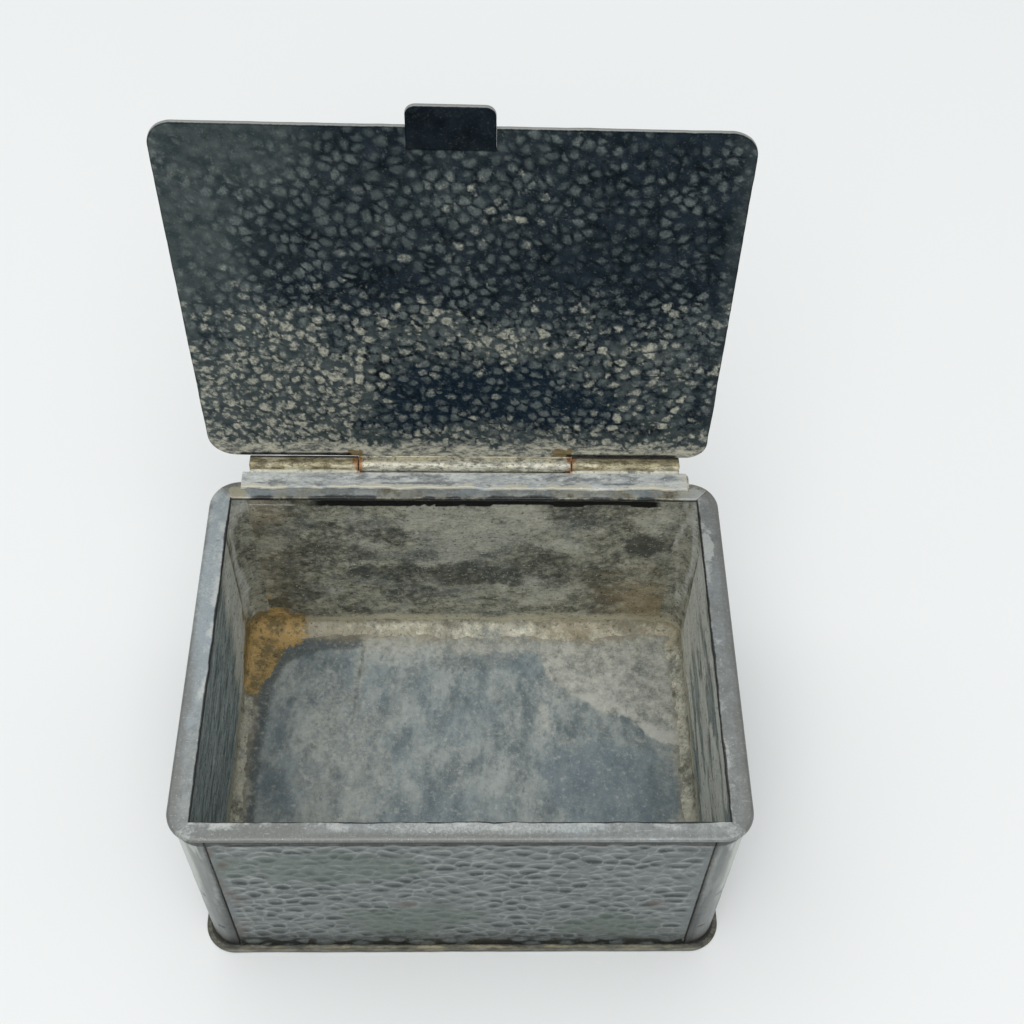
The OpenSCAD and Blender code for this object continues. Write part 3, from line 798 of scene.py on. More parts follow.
def solder_ring(looks):
    """Fillet of solder that runs round the floor, wider and narrower as it was poured."""
    low, high = cad("floor_solder")
    radius = CORNER_RADIUS - STRIP_THICK
    straight = high[:2] - radius
    path = []
    for k, (sx, sy) in enumerate(((1, 1), (-1, 1), (-1, -1), (1, -1))):
        centre = np.array([sx * straight[0], sy * straight[1]])
        for angle in np.radians(90 * k + np.arange(0, 91, 10)):
            normal = np.array([math.cos(angle), math.sin(angle)])
            path.append((*(centre + radius * normal), *normal))
        span = 2 * straight[k % 2]
        count = int(span / 1.1)
        step = np.array([-normal[1], normal[0]]) * span / count
        path += [(*(centre + radius * normal + n * step), *normal) for n in range(1, count)]
    x, y, nx, ny = np.array(path).T[:, :, None]
    width = 1.8 + 2.4 * noise(x, y, 7, 601, 4) + 1.2 * ramp(y, 20, 40)
    height = 2.0 + 2.6 * noise(x, y, 6, 602, 4)
    turn = np.radians(np.linspace(0, 90, 9))
    inward = np.concatenate([[0.0], 1 - np.sin(turn)]) * width
    rise = np.concatenate([[-1.0], 1 - np.cos(turn)]) * height
    inward[:, 0], inward[:, -1] = -0.05, -0.04
    rise[:, :2] = -0.06
    lump = 0.35 * sway(x + 3 * inward, y + 3 * rise, 2.5, 603)
    lump[:, [0, 1, -1]] = 0
    inward, rise = inward + lump, rise + lump
    rings = np.stack([x - nx * inward, y - ny * inward, low[2] + rise], -1)

    def masks(x, y, z):
        brown = 0.1 + 0.5 * noise(x, y, 12, 607) + 0.4 * ramp(x, 12, 35) + 0.3 * ramp(x, -22, -32)
        return {
            "pale": 0.7 * patches(x, y, 6, 604, 0.4, 0.7),
            "dark": most(0.9 * patches(x, y, 5, 605, 0.5, 0.8),
                         0.6 * ramp(z + 2 * noise(x, y, 5, 610), 3.4, 5)),
            "blue": 0.7 * patches(x, y, 8, 606, 0.45, 0.8) * ramp(z, 3, 1.5),
            "brown": ramp(y, 30, 41) * brown,
            "rust": rust_stain(x, y, z),
        }

    loft("floor_solder", BOX, [rings], looks, masks, True)


# ---------------------------------------------------------------- rim

def on_outline(start, end, half, radius):
    """Where the way from start to end crosses the rounded outline."""
    low, high = np.zeros(start.shape[:-1]), np.ones(start.shape[:-1])
    for _ in range(24):
        mid = (low + high) / 2
        q = np.abs(start + mid[..., None] * (end - start)) - (np.array(half) - radius)
        out = np.hypot(*np.moveaxis(np.maximum(q, 0), -1, 0)) + np.minimum(q.max(-1), 0) > radius
        low, high = np.where(out, low, mid), np.where(out, mid, high)
    return start + low[..., None] * (end - start)


def rim_strip(node, outer, inner, half, seed, looks):
    """One mitred strip of the rim, between an outer and an inner line."""
    low, high = cad(node)
    run = outer[1] - outer[0]
    span = np.linalg.norm(run)
    width = abs(run[0] * (inner[0] - outer[0])[1] - run[1] * (inner[0] - outer[0])[0]) / span
    along = stops(0, 1, 0.8 / span, (0.25 / span, 0.7 / span))
    across = stops(0, 1, 0.45 / width, (0.12 / width, 0.3 / width))

    def plan(parts):
        s, t = net(along, across, parts)
        edge_out = outer[0] + s[..., None] * run
        edge_in = inner[0] + s[..., None] * (inner[1] - inner[0])
        edge_out = on_outline(edge_in, edge_out, half, RIM_RADIUS)
        slope = (edge_in - edge_out) / np.linalg.norm(edge_in - edge_out, axis=-1)[..., None]
        mitre = np.minimum(s, 1 - s) * span
        ragged = 0.3 * sway(*np.moveaxis(edge_in, -1, 0), 3.5, seed, 4) * ramp(mitre, 0, 3)
        edge_in = edge_in + slope * ragged[..., None]
        x, y = np.moveaxis(edge_out + t[..., None] * (edge_in - edge_out), -1, 0)
        return x, y, t * width, (1 - t) * width, mitre

    x, y, from_out, from_in, mitre = plan(FINE)
    uneven = 0.1 * noise(x, y, 8, seed + 1) + 0.05 * noise(x, y, 2.5, seed + 2)
    uneven += 0.06 * ramp(mitre, 0.35, 0.0)
    top = high[2] - uneven - rounding(from_out, 0.8) - rounding(from_in, 0.3)
    xb, yb, out_b, in_b, _ = plan(1)
    under = low[2] + rounding(out_b, 0.4) + rounding(in_b, 0.2)
    # The underside is painted fully dark, a painted shadow that darkens the side face towards its foot.
    sheet(node, BOX, np.stack([x, y, top], -1), np.stack([xb, yb, under], -1),
          rim_masks(node, x, y, from_out, from_in, seed), {"dark": 1.0}, looks)


def rim_masks(node, x, y, from_out, from_in, seed):
    cloud = sway(x, y, 6, seed + 5, 4)
    blue = 0.6 * patches(x, y, 10, seed + 3, 0.45, 0.8)
    warm = ramp(from_out + 1.6 * cloud, 3.2, 0.8)
    white = ramp(from_in + 1.6 * cloud, 2.6, 0.6) * patches(x, y, 4, seed + 4, 0.3, 0.8)
    # Painted shadow: a dark line along the inner edge, where the rim overhangs the wall, and along the outer
    # edge's lowest row.
    dark = most(0.95 * ramp(from_in + 0.5 * cloud, 0.55, 0.15), 0.45 * (from_out < 0.01))
    cream = 0.0
    if node == "rim_left":
        blue = most(blue, 0.9 * ramp(y, -42, 10) * ramp(from_out, 0.4, 1.4))
        warm = warm * ramp(y, 20, -20)
        white = most(white * ramp(y, -45, 0), 0.7 * ramp(y, 0, 30) * ramp(cloud, -0.25, 0.2))
    if node == "rim_right":
        warm = most(warm, 0.55)
        white = 0.7 * white * (0.4 + 0.6 * ramp(y, -44, -36))
        white = most(white, 0.9 * blot(x, y, (56.2, 27), (1.6, 4.5), 705))
    if node == "rim_back":
        cream = most(0.95 * blot(x, y, (-53.8, 41.5), (2.6, 2.0), 706), 0.5 * ramp(cloud, -0.1, 0.2))
        white = most(white, 0.8 * blot(x, y, (54, 42), (3.5, 3), 707))
        # Dark patches, and a wider painted shadow along the inner edge over the gap to the wall.
        dark = most(dark, 0.8 * ramp(cloud, 0.12, 0.35), 0.6 * ramp(from_in + 1.5 * cloud, 0.9, 0.4))
        dark = dark * ramp(np.abs(x), 53, 48)
    if node == "rim_front":
        warm = most(warm * (1 - 0.6 * ramp(x, 5, 40)), 0.95 * ramp(x, -15, -40))
        white = most(white, 0.4 * blot(np.abs(x), y, (57, -43.4), (3.4, 2.2), 708),
                     0.5 * ramp(np.abs(x - 8), 34, 10) * ramp(from_in, 3.4, 1.5))
    return {"blue": blue, "warm": warm, "white": white, "dark": dark, "cream": cream}


def rim(looks):
    """Four strips, mitred at the corners, anticlockwise from the front left corner."""
    right, back = cad("rim_right")[1][0], cad("rim_back")[1][1]
    side, front, rear = RIM_INNER
    outer = np.array([(-right, -back), (right, -back), (right, back), (-right, back)])
    inner = np.array([(-side, front), (side, front), (side, rear), (-side, rear)])
    for k, name in enumerate(("rim_front", "rim_right", "rim_back", "rim_left")):
        ends = [k, (k + 1) % 4]
        rim_strip(name, outer[ends], inner[ends], (right, back), 711 + 10 * k, looks)


# ---------------------------------------------------------------- hinge

TUBE_SEAM = math.radians(38)  # where the side knuckles' rolled seam is, up from the back
AXIS_Y, AXIS_Z = ((cad("knuckle_left")[0] + cad("knuckle_left")[1]) / 2)[1:]


def hinge_leaf():
    """Sheet leaf that lies on the rim, with two ears that reach back to the side knuckles."""
    low, high = cad("hinge_leaf")
    ear_in, ear_out = (corner[0] for corner in cad("knuckle_right"))
    x_lines = stops(low[0], high[0], 0.8, (0.15, 0.4), [-ear_out, -ear_in, ear_in, ear_out])
    reach = AXIS_Y - BARREL + 0.03
    y_lines = np.append(stops(low[1], LEAF_BACK, 0.6, (0.15, 0.4)), reach)
    keep = np.ones((len(x_lines) - 1, len(y_lines) - 1), bool)
    middle = np.abs((x_lines[1:] + x_lines[:-1]) / 2)
    keep[:, -1] = (middle > ear_in) & (middle < ear_out)

    def plan(parts):
        x, y = net(x_lines, y_lines, parts)
        from_front, side = y - low[1], high[0] - np.abs(x)
        ragged = 0.9 * (noise(x, y * 0, 5, 801, 4) - 0.4)
        return x, y + ragged * ramp(from_front, 1.6, 0.0) * ramp(side, 0, 1), from_front, side

    x, y, from_front, side = plan(FINE)
    back_edge = np.where((np.abs(x) > ear_in) & (np.abs(x) < ear_out), 9, np.abs(LEAF_BACK - y))
    top = high[2] - rounding(np.minimum(from_front, side), 0.3) - rounding(back_edge, 0.15)
    top -= 0.09 * noise(x, y, (7, 3), 802, 4)
    xb, yb, _, _ = plan(1)
    joint = np.abs(np.abs(x) - ear_in)
    masks = {
        # Dark flecks, with painted shade along the back edge and in a line near the front edge.
        "dark": most(0.7 * patches(x, y, (5, 2), 803, 0.55, 0.8), 0.5 * ramp(back_edge, 0.3, 0.1),
                     ramp(np.abs(from_front - 1.4), 0.4, 0.15) * patches(x, y * 0, 12, 806, 0.45, 0.6, 3)),
        "cream": most(ramp(from_front + 2 * sway(x, y, 4, 804, 4), 1.2, 0.2), 0.6 * ramp(x, 49, 53)),
        "rust": 0.8 * ramp(joint + 2 * sway(x, y, 2, 805), 2.2, 0.5) * ramp(y, 46, 48.3),
    }
    # The underside and edge faces are painted half dark, as shade.
    sheet("hinge_leaf", BOX, np.stack([x, y, top], -1),
          np.stack([xb, yb, np.full(xb.shape, low[2])], -1), masks, {"dark": 0.5}, [leaf_look()], keep)


def tube_masks(ends, seed, bare=0.0, crest=0.0):
    """Wear of a knuckle; ends are the places of its joints. crest darkens the top of its back along the rolled
    seam, partly as painted shadow under the lid's edge.
    """
    def masks(x, y, z):
        turn = np.arctan2(z - AXIS_Z, y - AXIS_Y)
        around = BARREL * turn
        joint = np.min([np.abs(x - e) for e in ends], 0)
        return {
            "dark": most(0.5 * patches(x, around, (4, 1.2), seed, 0.6, 0.85),
                         # dark line along the rolled seam, also a painted shadow under the lid's edge
                         crest * ramp(np.abs(turn - TUBE_SEAM), 0.52, 0.3)),
            "pale": 0.7 * patches(x, around, (5, 1.6), seed + 1, 0.5, 0.75),
            "rust": ramp(joint + 1.6 * sway(x, around, 2, seed + 2), 1.5, 0.3),
            "bare": bare * ramp(turn, 0.9, 1.5),
        }
    return masks


def barrel_stations(start, stop):
    """Places along a knuckle, closer at its rounded ends, and how far the rounding takes them in."""
    near = np.array([0, 0.06, 0.16])
    x = np.concatenate([start + near, np.linspace(start + 0.4, stop - 0.4, 40), stop - near[::-1]])
    return x, rounding(np.minimum(x - start, stop - x), 0.2)


def around_axis(x, radius, angle):
    """Points at this radius and angle about the hinge axis."""
    y, z = AXIS_Y + radius * np.cos(angle), AXIS_Z + radius * np.sin(angle)
    return np.stack(np.broadcast_arrays(x, y, z), -1)


def side_knuckle(node, seed, looks):
    """Tube that is soldered to the leaf, with slightly rounded ends."""
    low, high = cad(node)
    x, inset = barrel_stations(low[0], high[0])
    angle = np.linspace(0, 2 * math.pi, 41)[:-1][:, None]
    wear = 0.06 * noise(x, angle * BARREL, (4, 1.5), seed) - 0.42 * ramp(np.abs(angle - TUBE_SEAM), 0.5, 0.12)
    bore = np.full((len(angle), 2), PIN - 0.01)
    rings = around_axis([*x, high[0], low[0]], np.hstack([BARREL - inset - wear, bore]), angle)
    joint = min(low[0], high[0], key=abs)
    loft(node, BOX, [rings], looks, tube_masks([joint], seed, 0, 1), True)


def hinge_pin():
    """Iron pin whose ends show, slightly domed, at both ends of the barrel."""
    low, high = cad("hinge_pin")
    end = np.array([0.0, 0.04, 0.1, 0.18])
    x = np.concatenate([low[0] + end, np.linspace(low[0] + 1, high[0] - 1, 21), high[0] - end[::-1]])[:, None]
    radius = PIN - 0.02 - rounding(np.minimum(x - low[0], high[0] - x), 0.18)
    rings = around_axis(x, radius, np.linspace(0, 2 * math.pi, 25)[:-1])
    loft("hinge_pin", BOX, [rings], [pin_look()], lambda x, y, z: {})


def bead(start, stop, across, up, radius, seed, step=0.5, reach=(-100, 100)):
    """Rings of an irregular half-round bead from start to stop. across and up are the directions of its
    flat side and of its top; reach limits how far round it goes, in degrees from its top."""
    start, stop, across, up = (np.array(v, float) for v in (start, stop, across, up))
    length = np.linalg.norm(stop - start)
    t = np.linspace(0, 1, max(6, int(length / step)))[:, None]
    turn = np.radians(np.linspace(*reach, 9))
    taper = np.sqrt(np.clip(1 - (1 - np.minimum(t, 1 - t) * length / radius).clip(0) ** 2, 0.02, 1))
    size = radius * taper * (0.72 + 0.28 * noise(t * length, turn * radius, (3, 1.2), seed))
    spine = start + t * (stop - start)
    return spine[:, None] + (size * np.sin(turn))[..., None] * across + (size * np.cos(turn))[..., None] * up


def bead_masks(seed):
    def masks(x, y, z):
        cloud = noise(x, y + z, (3, 2), seed, 4)
        return {"pale": ramp(cloud, 0.35, 0.65), "dark": 0.6 * ramp(cloud, 0.4, 0.2),
                "brown": 0.4 * ramp(cloud, 0.5, 0.8)}
    return masks


def leaf_solder(looks):
    """Beads that tie the side knuckles to the leaf, and one along the leaf's right end."""
    low, high = cad("knuckle_right")
    seat = (AXIS_Y - BARREL - 0.15, LEAF_TOP - 0.02)
    beads = []
    for side in (-1, 1):
        start, stop = sorted((side * low[0], side * high[0]))
        beads.append(bead((start, *seat), (stop, *seat), (0, -1, 0), (0, 0, 1), 0.55, 851 + side))
    end, foot, front = cad("hinge_leaf")[1][0], cad("rim_back")[1][2] - 0.1, cad("hinge_leaf")[0][1] + 0.6
    beads.append(bead((end, front, foot), (end, LEAF_BACK, foot), (1, 0, 0), (0, 0, 1), 0.6, 855,
                      0.25, (-10, 95)))
    loft("leaf_solder", BOX, beads, looks, bead_masks(856))


# ---------------------------------------------------------------- lid

def open_angle():
    """Angle of the open lid about the hinge axis, from the CAD lid's largest face."""
    normal = max(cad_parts["lid_plate"].data.polygons, key=lambda p: p.area).normal
    if normal.y < 0:
        normal = -normal
    return math.atan2(-normal.y, normal.z)


LID_TURN = open_angle()


def from_lid(x, y, z):
    """Points given on the closed lid, with the hinge axis at 0, in their open place."""
    x, y, z = np.broadcast_arrays(x, y, z)
    c, s = math.cos(LID_TURN), math.sin(LID_TURN)
    return np.stack([x, AXIS_Y + c * y - s * z, AXIS_Z + s * y + c * z], -1)


def askew(x, y):
    """The lid isn't quite square: its front edge runs out a little on the left and in on the right, and is
    dragged to the left; its hinge edge comes closer to the barrel on the right."""
    share = (y / LID_EDGES[1]).clip(0)
    across = x - share * (0.95 + 0.005 * x - 0.00018 * x * x)
    return across, y - share * (0.12 - 0.0115 * x) + (1 - share) * (0.02 + 0.003 * x)


def lid_middle():
    low, high = cad("lid_plate")
    return (low[0] + high[0]) / 2, (high[0] - low[0]) / 2


def lid_plan(x_lines, y_lines, parts, half, middle):
    x, y = net(x_lines, y_lines, parts)
    radius = np.select([y < 0, x < 0], LID_RADIUS[:2], LID_RADIUS[2])
    x, y, edge = round_corner(x, y, half, radius)
    wave = 0.22 * sway(x, y, 10, 1001, 4) * ramp(edge, 4, 0)
    return x + wave * np.sign(x) * (np.abs(x) > 9), y + middle + wave * np.sign(y), edge


def lid_lime(x, s):
    """How much lime lies on each part of the underside. x is from the middle, s from the hinge edge."""
    def patch(at, size, seed, grain):
        return blot(x, s, at, size, seed, 0.8, grain)

    lime = 0.02 + 0.4 * sway(x, s, (14, 9), 1011, 4) + 0.32 * ramp(s, 72, 26) + 0.4 * ramp(s, 13, 3)
    lime += 0.36 * patch((-42, 17), (19, 19), 1012, 9) + 0.28 * patch((-40, 42), (13, 7), 1013, 5)
    lime += 0.25 * patch((11, 38), (8, 6), 1014, 4) + 0.16 * patch((45, 22), (9, 13), 1015, 8)
    lime += 0.05 * patch((40, 42), (17, 10), 1016, 8) + 0.06 * patch((-6, 43), (16, 7), 1017, 5)
    lime += 0.14 * patch((12, 78), (20, 9), 1018, 7) + 0.6 * patch((11.5, 36), (2.6, 4.5), 1027, 3)
    lime -= 0.12 * patch((5, 20), (22, 10), 1019, 8) + 0.2 * patch((-34, 58), (14, 7), 1020, 6)
    lime -= 0.2 * patch((2, 87), (20, 5), 1021, 6) + 0.18 * patch((34, 62), (16, 9), 1022, 7)
    lime += 0.12 * ramp(x, -8, -35) * ramp(s, 66, 44)
    return lime - 0.1 * ramp(s, 50, 70) * ramp(x, 10, 30)


def lid_lumps(x, s):
    """The lumps on the lid's underside, as marks() gives them."""
    wide = x + 1.3 * sway(x, s, 4, 1031)
    tall = s + 1.3 * sway(x, s, 4, 1032)
    return marks(wide, tall, (2.9, 3.0), 1033, 0.9, 0.3)


def lid_inside_masks(x, s, edge, outline, calm):
    """Where the underside is black, grey or lime-white: broad lumps, and smaller ones between them."""
    lime = lid_lime(x, s)
    cloud = sway(x, s, 6, 1010)
    zone = sway(x, s, (15, 11), 1029)
    crust = sway(x, s, 1.1, 1023)
    wide = x + 1.6 * sway(x, s, 3, 1036)
    tall = s + 1.6 * sway(x, s, 3, 1037)
    _, small_gap, small_reach, small_tone = marks(wide, tall, (1.6, 1.7), 1038, 0.95, 0.4)
    _, gap, reach, tone = lid_lumps(x, s)
    other = tone * 7.3 % 1
    cap = ramp(reach / (0.75 + 0.3 * other) + 0.3 * crust, 0.6, 0.2) * ramp(gap + 0.2 * crust, 0.0, 0.26)
    small_cap = ramp(small_reach + 0.4 * crust, 0.56, 0.16) * ramp(small_gap + 0.2 * crust, 0, 0.24)
    left_haze = most(ramp(x, -28, -52) * ramp(s, 20, 60), ramp(x, -10, -42) * ramp(s, 60, 86))
    border = ramp(edge + 2.4 * cloud, 5.0, 1.2) * ramp(np.abs(x), 50, 56) * (0.5 + 0.5 * (x < 0))
    side = ramp(np.abs(x), 25, 26) * ramp(np.abs(x), 53, 51)
    upper_right = ramp(s, 50, 70) * ramp(x, 10, 35)
    upper = ramp(s, 40, 70) * (1 - 0.5 * ramp(x, 12, 36))
    return {
        "top": most(cap * np.clip(0.36 + 0.36 * tone + 0.7 * lime + 0.8 * zone - 0.12 * upper_right, 0, 1),
                    0.7 * small_cap * np.clip(0.5 * small_tone + 0.9 * lime + 0.6 * zone, 0, 1)),
        "pale": most(cap * (0.45 + 0.6 * other) * ramp(tone + 1.3 * lime, 0.78, 1.45),
                     0.8 * small_cap * ramp(small_tone + 1.2 * lime, 0.9, 1.6)),
        "haze": most(left_haze * (0.7 + 0.4 * cap), 0.75 * ramp(lime + 0.5 * crust, 0.15, 0.6),
                     0.9 * border, upper * (0.3 + 0.5 * cap + 0.3 * zone)),
        "navy": blot(x, s, (6, 17), (34, 13), 1028),
        "cream": ramp(s + 5.0 * sway(x, s, 3, 1024, 4), 6.4, 1.6),
        # Dark in the creases between lumps, a painted shadow line along the hinge edge above the side
        # knuckles, and a dark line just inside the outline.
        "groove": most(0.6 * calm * (1 - 0.7 * left_haze) * ramp(gap + 0.2 * crust, 0.14, 0.0) * ramp(s, 3, 6),
                       ramp(s, 1.3, 0.8) * side, 0.5 * ramp(edge, 0.5, 0.2) * (s > 2)),
        "rust": most(blot(x, s, (-24.5, 0.8), (2.2, 1.6), 1025), blot(x, s, (24.8, 1.2), (2.8, 2.0), 1026)),
        "worn": ramp(outline, 0.12, 0.0),
    }


def lid_plate(looks):
    """Hammered sheet: dented outside, pebbled underneath, with a notch for the tab."""
    shift, half_x = lid_middle()
    half = (half_x, (LID_EDGES[0] - LID_EDGES[1]) / 2)
    middle = (LID_EDGES[0] + LID_EDGES[1]) / 2
    low, high = cad("thumb_tab")
    tab = (high[0] - low[0]) / 2
    notch = TAB_IN - half[1]
    x_lines = stops(-half[0], half[0], 0.8, (0.25, 0.6), (-tab, tab))
    y_lines = stops(-half[1], half[1], 0.8, (0.25, 0.6), (notch,))
    keep = np.ones((len(x_lines) - 1, len(y_lines) - 1), bool)
    centre_x, centre_y = (x_lines[1:] + x_lines[:-1]) / 2, (y_lines[1:] + y_lines[:-1]) / 2
    keep[np.ix_(np.abs(centre_x) < tab, centre_y < notch)] = False

    x, y, edge = lid_plan(x_lines, y_lines, FINE, half, middle)
    s = LID_EDGES[0] - y
    outline, edge = edge, np.minimum(edge, np.where(np.abs(x) < tab + 0.3, np.abs(y - middle - notch), 9))
    to_tab = np.hypot(np.maximum(np.abs(x) - tab, 0), np.maximum(y - middle - notch, 0))
    level = lid_lumps(x, s)[0]
    calm = ramp(edge + 2.0 * sway(x, s, 8, 1034), 1.2, 5.0) * ramp(to_tab, 0.3, 3.5)
    calm *= 1 - 0.55 * ramp(x, -38, -56)
    depth = 0.24 * np.clip(level / 0.5, 0, 1) * calm + 0.1 * noise(x, s, 9, 1035, 3)
    under = LID_UNDER + depth + rounding(edge, 0.15 + 0.3 * ramp(s, 1, 8))
    front = from_lid(*askew(x + shift, y), under)
    masks = lid_inside_masks(x, s, edge, outline, calm)

    xb, yb, edge_b = lid_plan(x_lines, y_lines, 1, half, middle)
    level, gap, _, tone = marks(xb + 2 * sway(xb, yb, 7, 1041, 2), yb, (4.4, 4.2), 1042)
    calm = ramp(edge_b, 1.5, 4)
    dent = 0.4 * (1 - np.clip(level / 0.45, 0, 1)) * (0.55 + 0.6 * tone) * calm
    lean = np.gradient(dent, axis=1) / np.gradient(yb, axis=1)
    outer = LID_OUTER - dent - rounding(edge_b, 0.5) - 0.05 * noise(xb, yb, 12, 1043, 2)
    back = from_lid(*askew(xb + shift, yb), outer)
    outside = {
        # Painted highlight on the half of each mark towards the hinge, its lower half when the lid stands
        # open, and on the ridges; painted shade on the other half.
        "ridge": (0.9 * ramp(-lean, 0.0, 0.13) + 0.35 * ramp(gap, 0.4, 0.0)) * calm,
        "hollow": ramp(lean, -0.02, 0.12) * calm,
        "worn": ramp(edge_b, 1.2, 0.3),
    }
    sheet("lid_plate", LID, front, back, masks, outside, looks, keep)


def thumb_tab(looks):
    """Tongue let into the notch, with two rounded free corners."""
    low, high = cad("thumb_tab")
    shift, half_x = (low[0] + high[0]) / 2, (high[0] - low[0]) / 2
    inner = LID_EDGES[1] + TAB_IN
    outer_edge = LID_EDGES[1] - TAB_OUT
    half = (half_x - 0.03, (inner - outer_edge) / 2 - 0.03)
    middle = (inner + outer_edge) / 2
    x_lines = stops(-half[0], half[0], 0.7, (0.2, 0.5))
    y_lines = stops(-half[1], half[1], 0.7, (0.2, 0.5))

    def plan(parts):
        x, y = net(x_lines, y_lines, parts)
        x, y, edge = round_corner(x, y, half, np.where(y < 0, 2.0, 0.05))
        free = y + middle < LID_EDGES[1] + 0.4
        return x, y + middle, edge, np.where(free, 0.4, 0.12)

    x, y, edge, radius = plan(FINE)
    s = LID_EDGES[0] - y
    under = LID_UNDER + np.where(radius > 0.2, rounding(edge, 0.4), rounding(edge, 0.12))
    under += 0.08 * noise(x, s, 5, 1051, 4)
    front = from_lid(*askew(x + shift, y), under)
    xb, yb, edge_b, radius = plan(1)
    over = LID_OUTER - np.where(radius > 0.2, rounding(edge_b, 0.45), rounding(edge_b, 0.12))
    over -= 0.06 * noise(xb, yb, 4, 1052, 3)
    back = from_lid(*askew(xb + shift, yb), over)
    outside = {"worn": ramp(edge_b, 1, 0.2) * (yb < LID_EDGES[1])}
    masks = {
        "haze": 0.3 * noise(x, s, 4, 1053, 4) * ramp(s, 91, 88), "top": 0.35 * noise(x, s, 2, 1054, 4) - 0.1,
        "worn": ramp(edge, 0.12, 0.0) * (s > 94), "groove": most(0.5, 0.6 * ramp(edge, 0.6, 0.2) * (s < 94)),
    }
    sheet("thumb_tab", LID, front, back, masks, outside, looks)


def center_knuckle(looks):
    """Rolled tube and the strap that ties it to the lid's hinge edge, bent from one piece."""
    low, high = cad("knuckle_center")
    strap = (LID_UNDER, LID_UNDER + 1.2)
    first = math.pi - math.asin(strap[0] / BARREL)
    last = 3 * math.pi - math.asin(strap[1] / BARREL)
    turn = np.linspace(first, last, 44)
    barrel = np.stack([BARREL * np.cos(turn), BARREL * np.sin(turn)], -1)
    end = LID_EDGES[0] + 0.02
    upper = [(y, strap[1]) for y in np.linspace(barrel[-1, 0], end + 0.15, 7)[1:]]
    lower = [(y, strap[0]) for y in np.linspace(end + 0.15, barrel[0, 0], 7)[:-1]]
    outline = np.concatenate([barrel, upper, [(end, strap[1] - 0.15), (end, strap[0] + 0.15)], lower])
    extra = np.linspace(last, first + 2 * math.pi, len(outline) - len(turn) + 2)[1:-1]
    bore_turn = np.concatenate([turn, extra])
    bore = (PIN + 0.05) * np.stack([np.cos(bore_turn), np.sin(bore_turn)], -1)
    x, inset = barrel_stations(low[0], high[0])
    way = bore - outline
    way /= np.linalg.norm(way, axis=1)[:, None]
    around = np.arange(len(outline)) * 0.3
    wear = 0.06 * noise(x[None], around[:, None], (4, 1.5), 861, 3)
    skin = outline[:, None] + way[:, None] * (inset[None] + wear)[..., None]
    hole = np.repeat(bore[:, None], 2, 1)
    both = np.concatenate([skin, hole], 1)
    x = np.concatenate([x, [high[0], low[0]]])
    rings = from_lid(x[None], both[..., 0], both[..., 1])
    masks = tube_masks([low[0], high[0]], 865, 1)
    loft("knuckle_center", LID, [rings], looks, masks, True)


STOP_TURN, STOP_RADIUS = math.radians(-54.4), 1.85  # the stop bead's place on the barrel


def lid_solder(looks):
    """Bead over the strap, and the small bead under the barrel that the open lid rests on."""
    low, high = cad("knuckle_center")
    over = -(BARREL - LID_EDGES[0]) / 2, LID_UNDER + 1.17
    stop = STOP_RADIUS * math.cos(STOP_TURN), STOP_RADIUS * math.sin(STOP_TURN)

    def frame_at(turn):
        """Directions along and out of a surface that is turned this far about the hinge axis."""
        return (0, -math.sin(turn), math.cos(turn)), (0, math.cos(turn), math.sin(turn))

    lid_out, lid_along = frame_at(LID_TURN)
    stop_along, stop_out = frame_at(LID_TURN + STOP_TURN)
    beads = [
        bead(from_lid(low[0] + 0.2, *over), from_lid(high[0] - 0.2, *over), lid_along, lid_out, 0.6, 871),
        bead(from_lid(-20, *stop), from_lid(20, *stop), stop_along, stop_out, 0.58, 872),
    ]
    loft("lid_solder", LID, beads, looks, bead_masks(873))


# ---------------------------------------------------------------- surroundings

CAMERA_AT = (3.121, -163.459, 336.203)
CAMERA_PITCH, CAMERA_YAW, CAMERA_ROLL = 53.771, 2.287, -2.086  # down, to the right, clockwise
LENS = 50.68
FLOOR_HALF = 3.0  # metres


def camera():
    pitch, yaw, roll = map(math.radians, (CAMERA_PITCH, CAMERA_YAW, CAMERA_ROLL))
    ahead = Vector((math.sin(yaw) * math.cos(pitch), math.cos(yaw) * math.cos(pitch), -math.sin(pitch)))
    level = Vector((math.cos(yaw), -math.sin(yaw), 0))
    down = ahead.cross(level)
    right = math.cos(roll) * level + math.sin(roll) * down
    down = math.cos(roll) * down - math.sin(roll) * level
    obj = bpy.data.objects.new("camera", bpy.data.cameras.new("camera"))
    obj.matrix_world = Matrix((right, -down, -ahead)).transposed().to_4x4()
    obj.location = Vector(CAMERA_AT) * MM
    obj.data.lens = LENS
    obj.data.sensor_width = 36
    obj.data.clip_start = 0.01
    bpy.context.scene.collection.objects.link(obj)
    bpy.context.scene.camera = obj


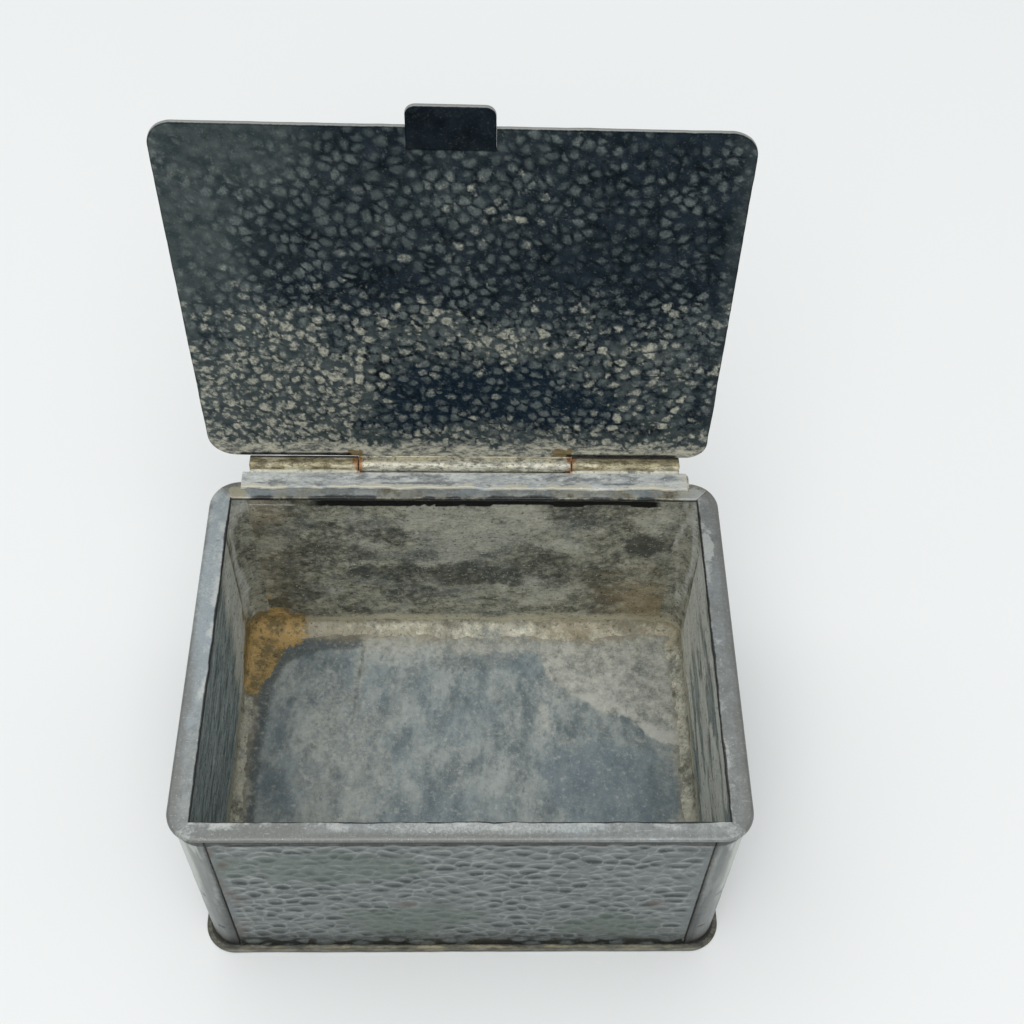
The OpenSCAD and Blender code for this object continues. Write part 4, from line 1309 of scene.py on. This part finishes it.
def floor_and_backdrop():
    mesh = bpy.data.meshes.new("floor_mesh")
    corners = [(sx * FLOOR_HALF, sy * FLOOR_HALF, 0) for sx, sy in ((-1, -1), (1, -1), (1, 1), (-1, 1))]
    mesh.from_pydata(corners, [], [(0, 1, 2, 3)])
    obj = bpy.data.objects.new("floor", mesh)
    bpy.context.scene.collection.objects.link(obj)
    k = Look("floor_paint")
    cloud = k.noise(400, 2.0)
    k.colour = k.mix(cloud, (0.8, 0.815, 0.81), (0.83, 0.845, 0.84))
    mesh.materials.append(k.finish(0.6, 0.0, gloss=0.2))


def area_light(name, at, size, power, colour, aim=(0, 0, 0.03)):
    light = bpy.data.lights.new(name, "AREA")
    light.shape = "RECTANGLE"
    light.size, light.size_y = size
    light.energy = power
    light.color = colour
    obj = bpy.data.objects.new(name, light)
    obj.location = at
    obj.rotation_euler = (Vector(aim) - Vector(at)).to_track_quat("-Z", "Y").to_euler()
    bpy.context.scene.collection.objects.link(obj)


def studio():
    world = bpy.data.worlds.new("studio")
    bpy.context.scene.world = world
    world.use_nodes = True
    sky = world.node_tree.nodes["Background"]
    sky.inputs["Color"].default_value = (0.97, 0.99, 1.0, 1)
    sky.inputs["Strength"].default_value = 0.52
    area_light("overhead", (-0.5, 0.5, 2.3), (2.4, 2.0), 16.0, (1.0, 1.0, 1.0))
    area_light("front", (-0.1, -1.5, 2.2), (2.4, 2.4), 42.0, (1.0, 1.0, 1.0))
    bpy.context.scene.view_settings.view_transform = "Standard"


# ---------------------------------------------------------------- one line for each group

wall_looks = [hammered_look(), inside_look()]
for wall in WALLS:
    wall_panel(*wall, wall_looks)
strip_looks = [strip_look(), wall_looks[1]]
for index, (sx, sy) in enumerate(((-1, -1), (1, -1), (-1, 1), (1, 1))):
    name = f"corner_{'front' if sy < 0 else 'back'}_{'left' if sx < 0 else 'right'}"
    corner_strip(name, sx, sy, 901 + 20 * index, strip_looks)
base_plate()
solder_looks = [solder_look()]
solder_ring(solder_looks)
rim([rim_look()])
hinge_leaf()
tube_looks = [tube_look()]
side_knuckle("knuckle_left", 821, tube_looks)
side_knuckle("knuckle_right", 841, tube_looks)
hinge_pin()
leaf_solder(solder_looks)
lid_looks = [lid_inside_look(), lid_outside_look()]
lid_plate(lid_looks)
thumb_tab(lid_looks)
center_knuckle(tube_looks)
lid_solder(solder_looks)
camera()
floor_and_backdrop()
studio()
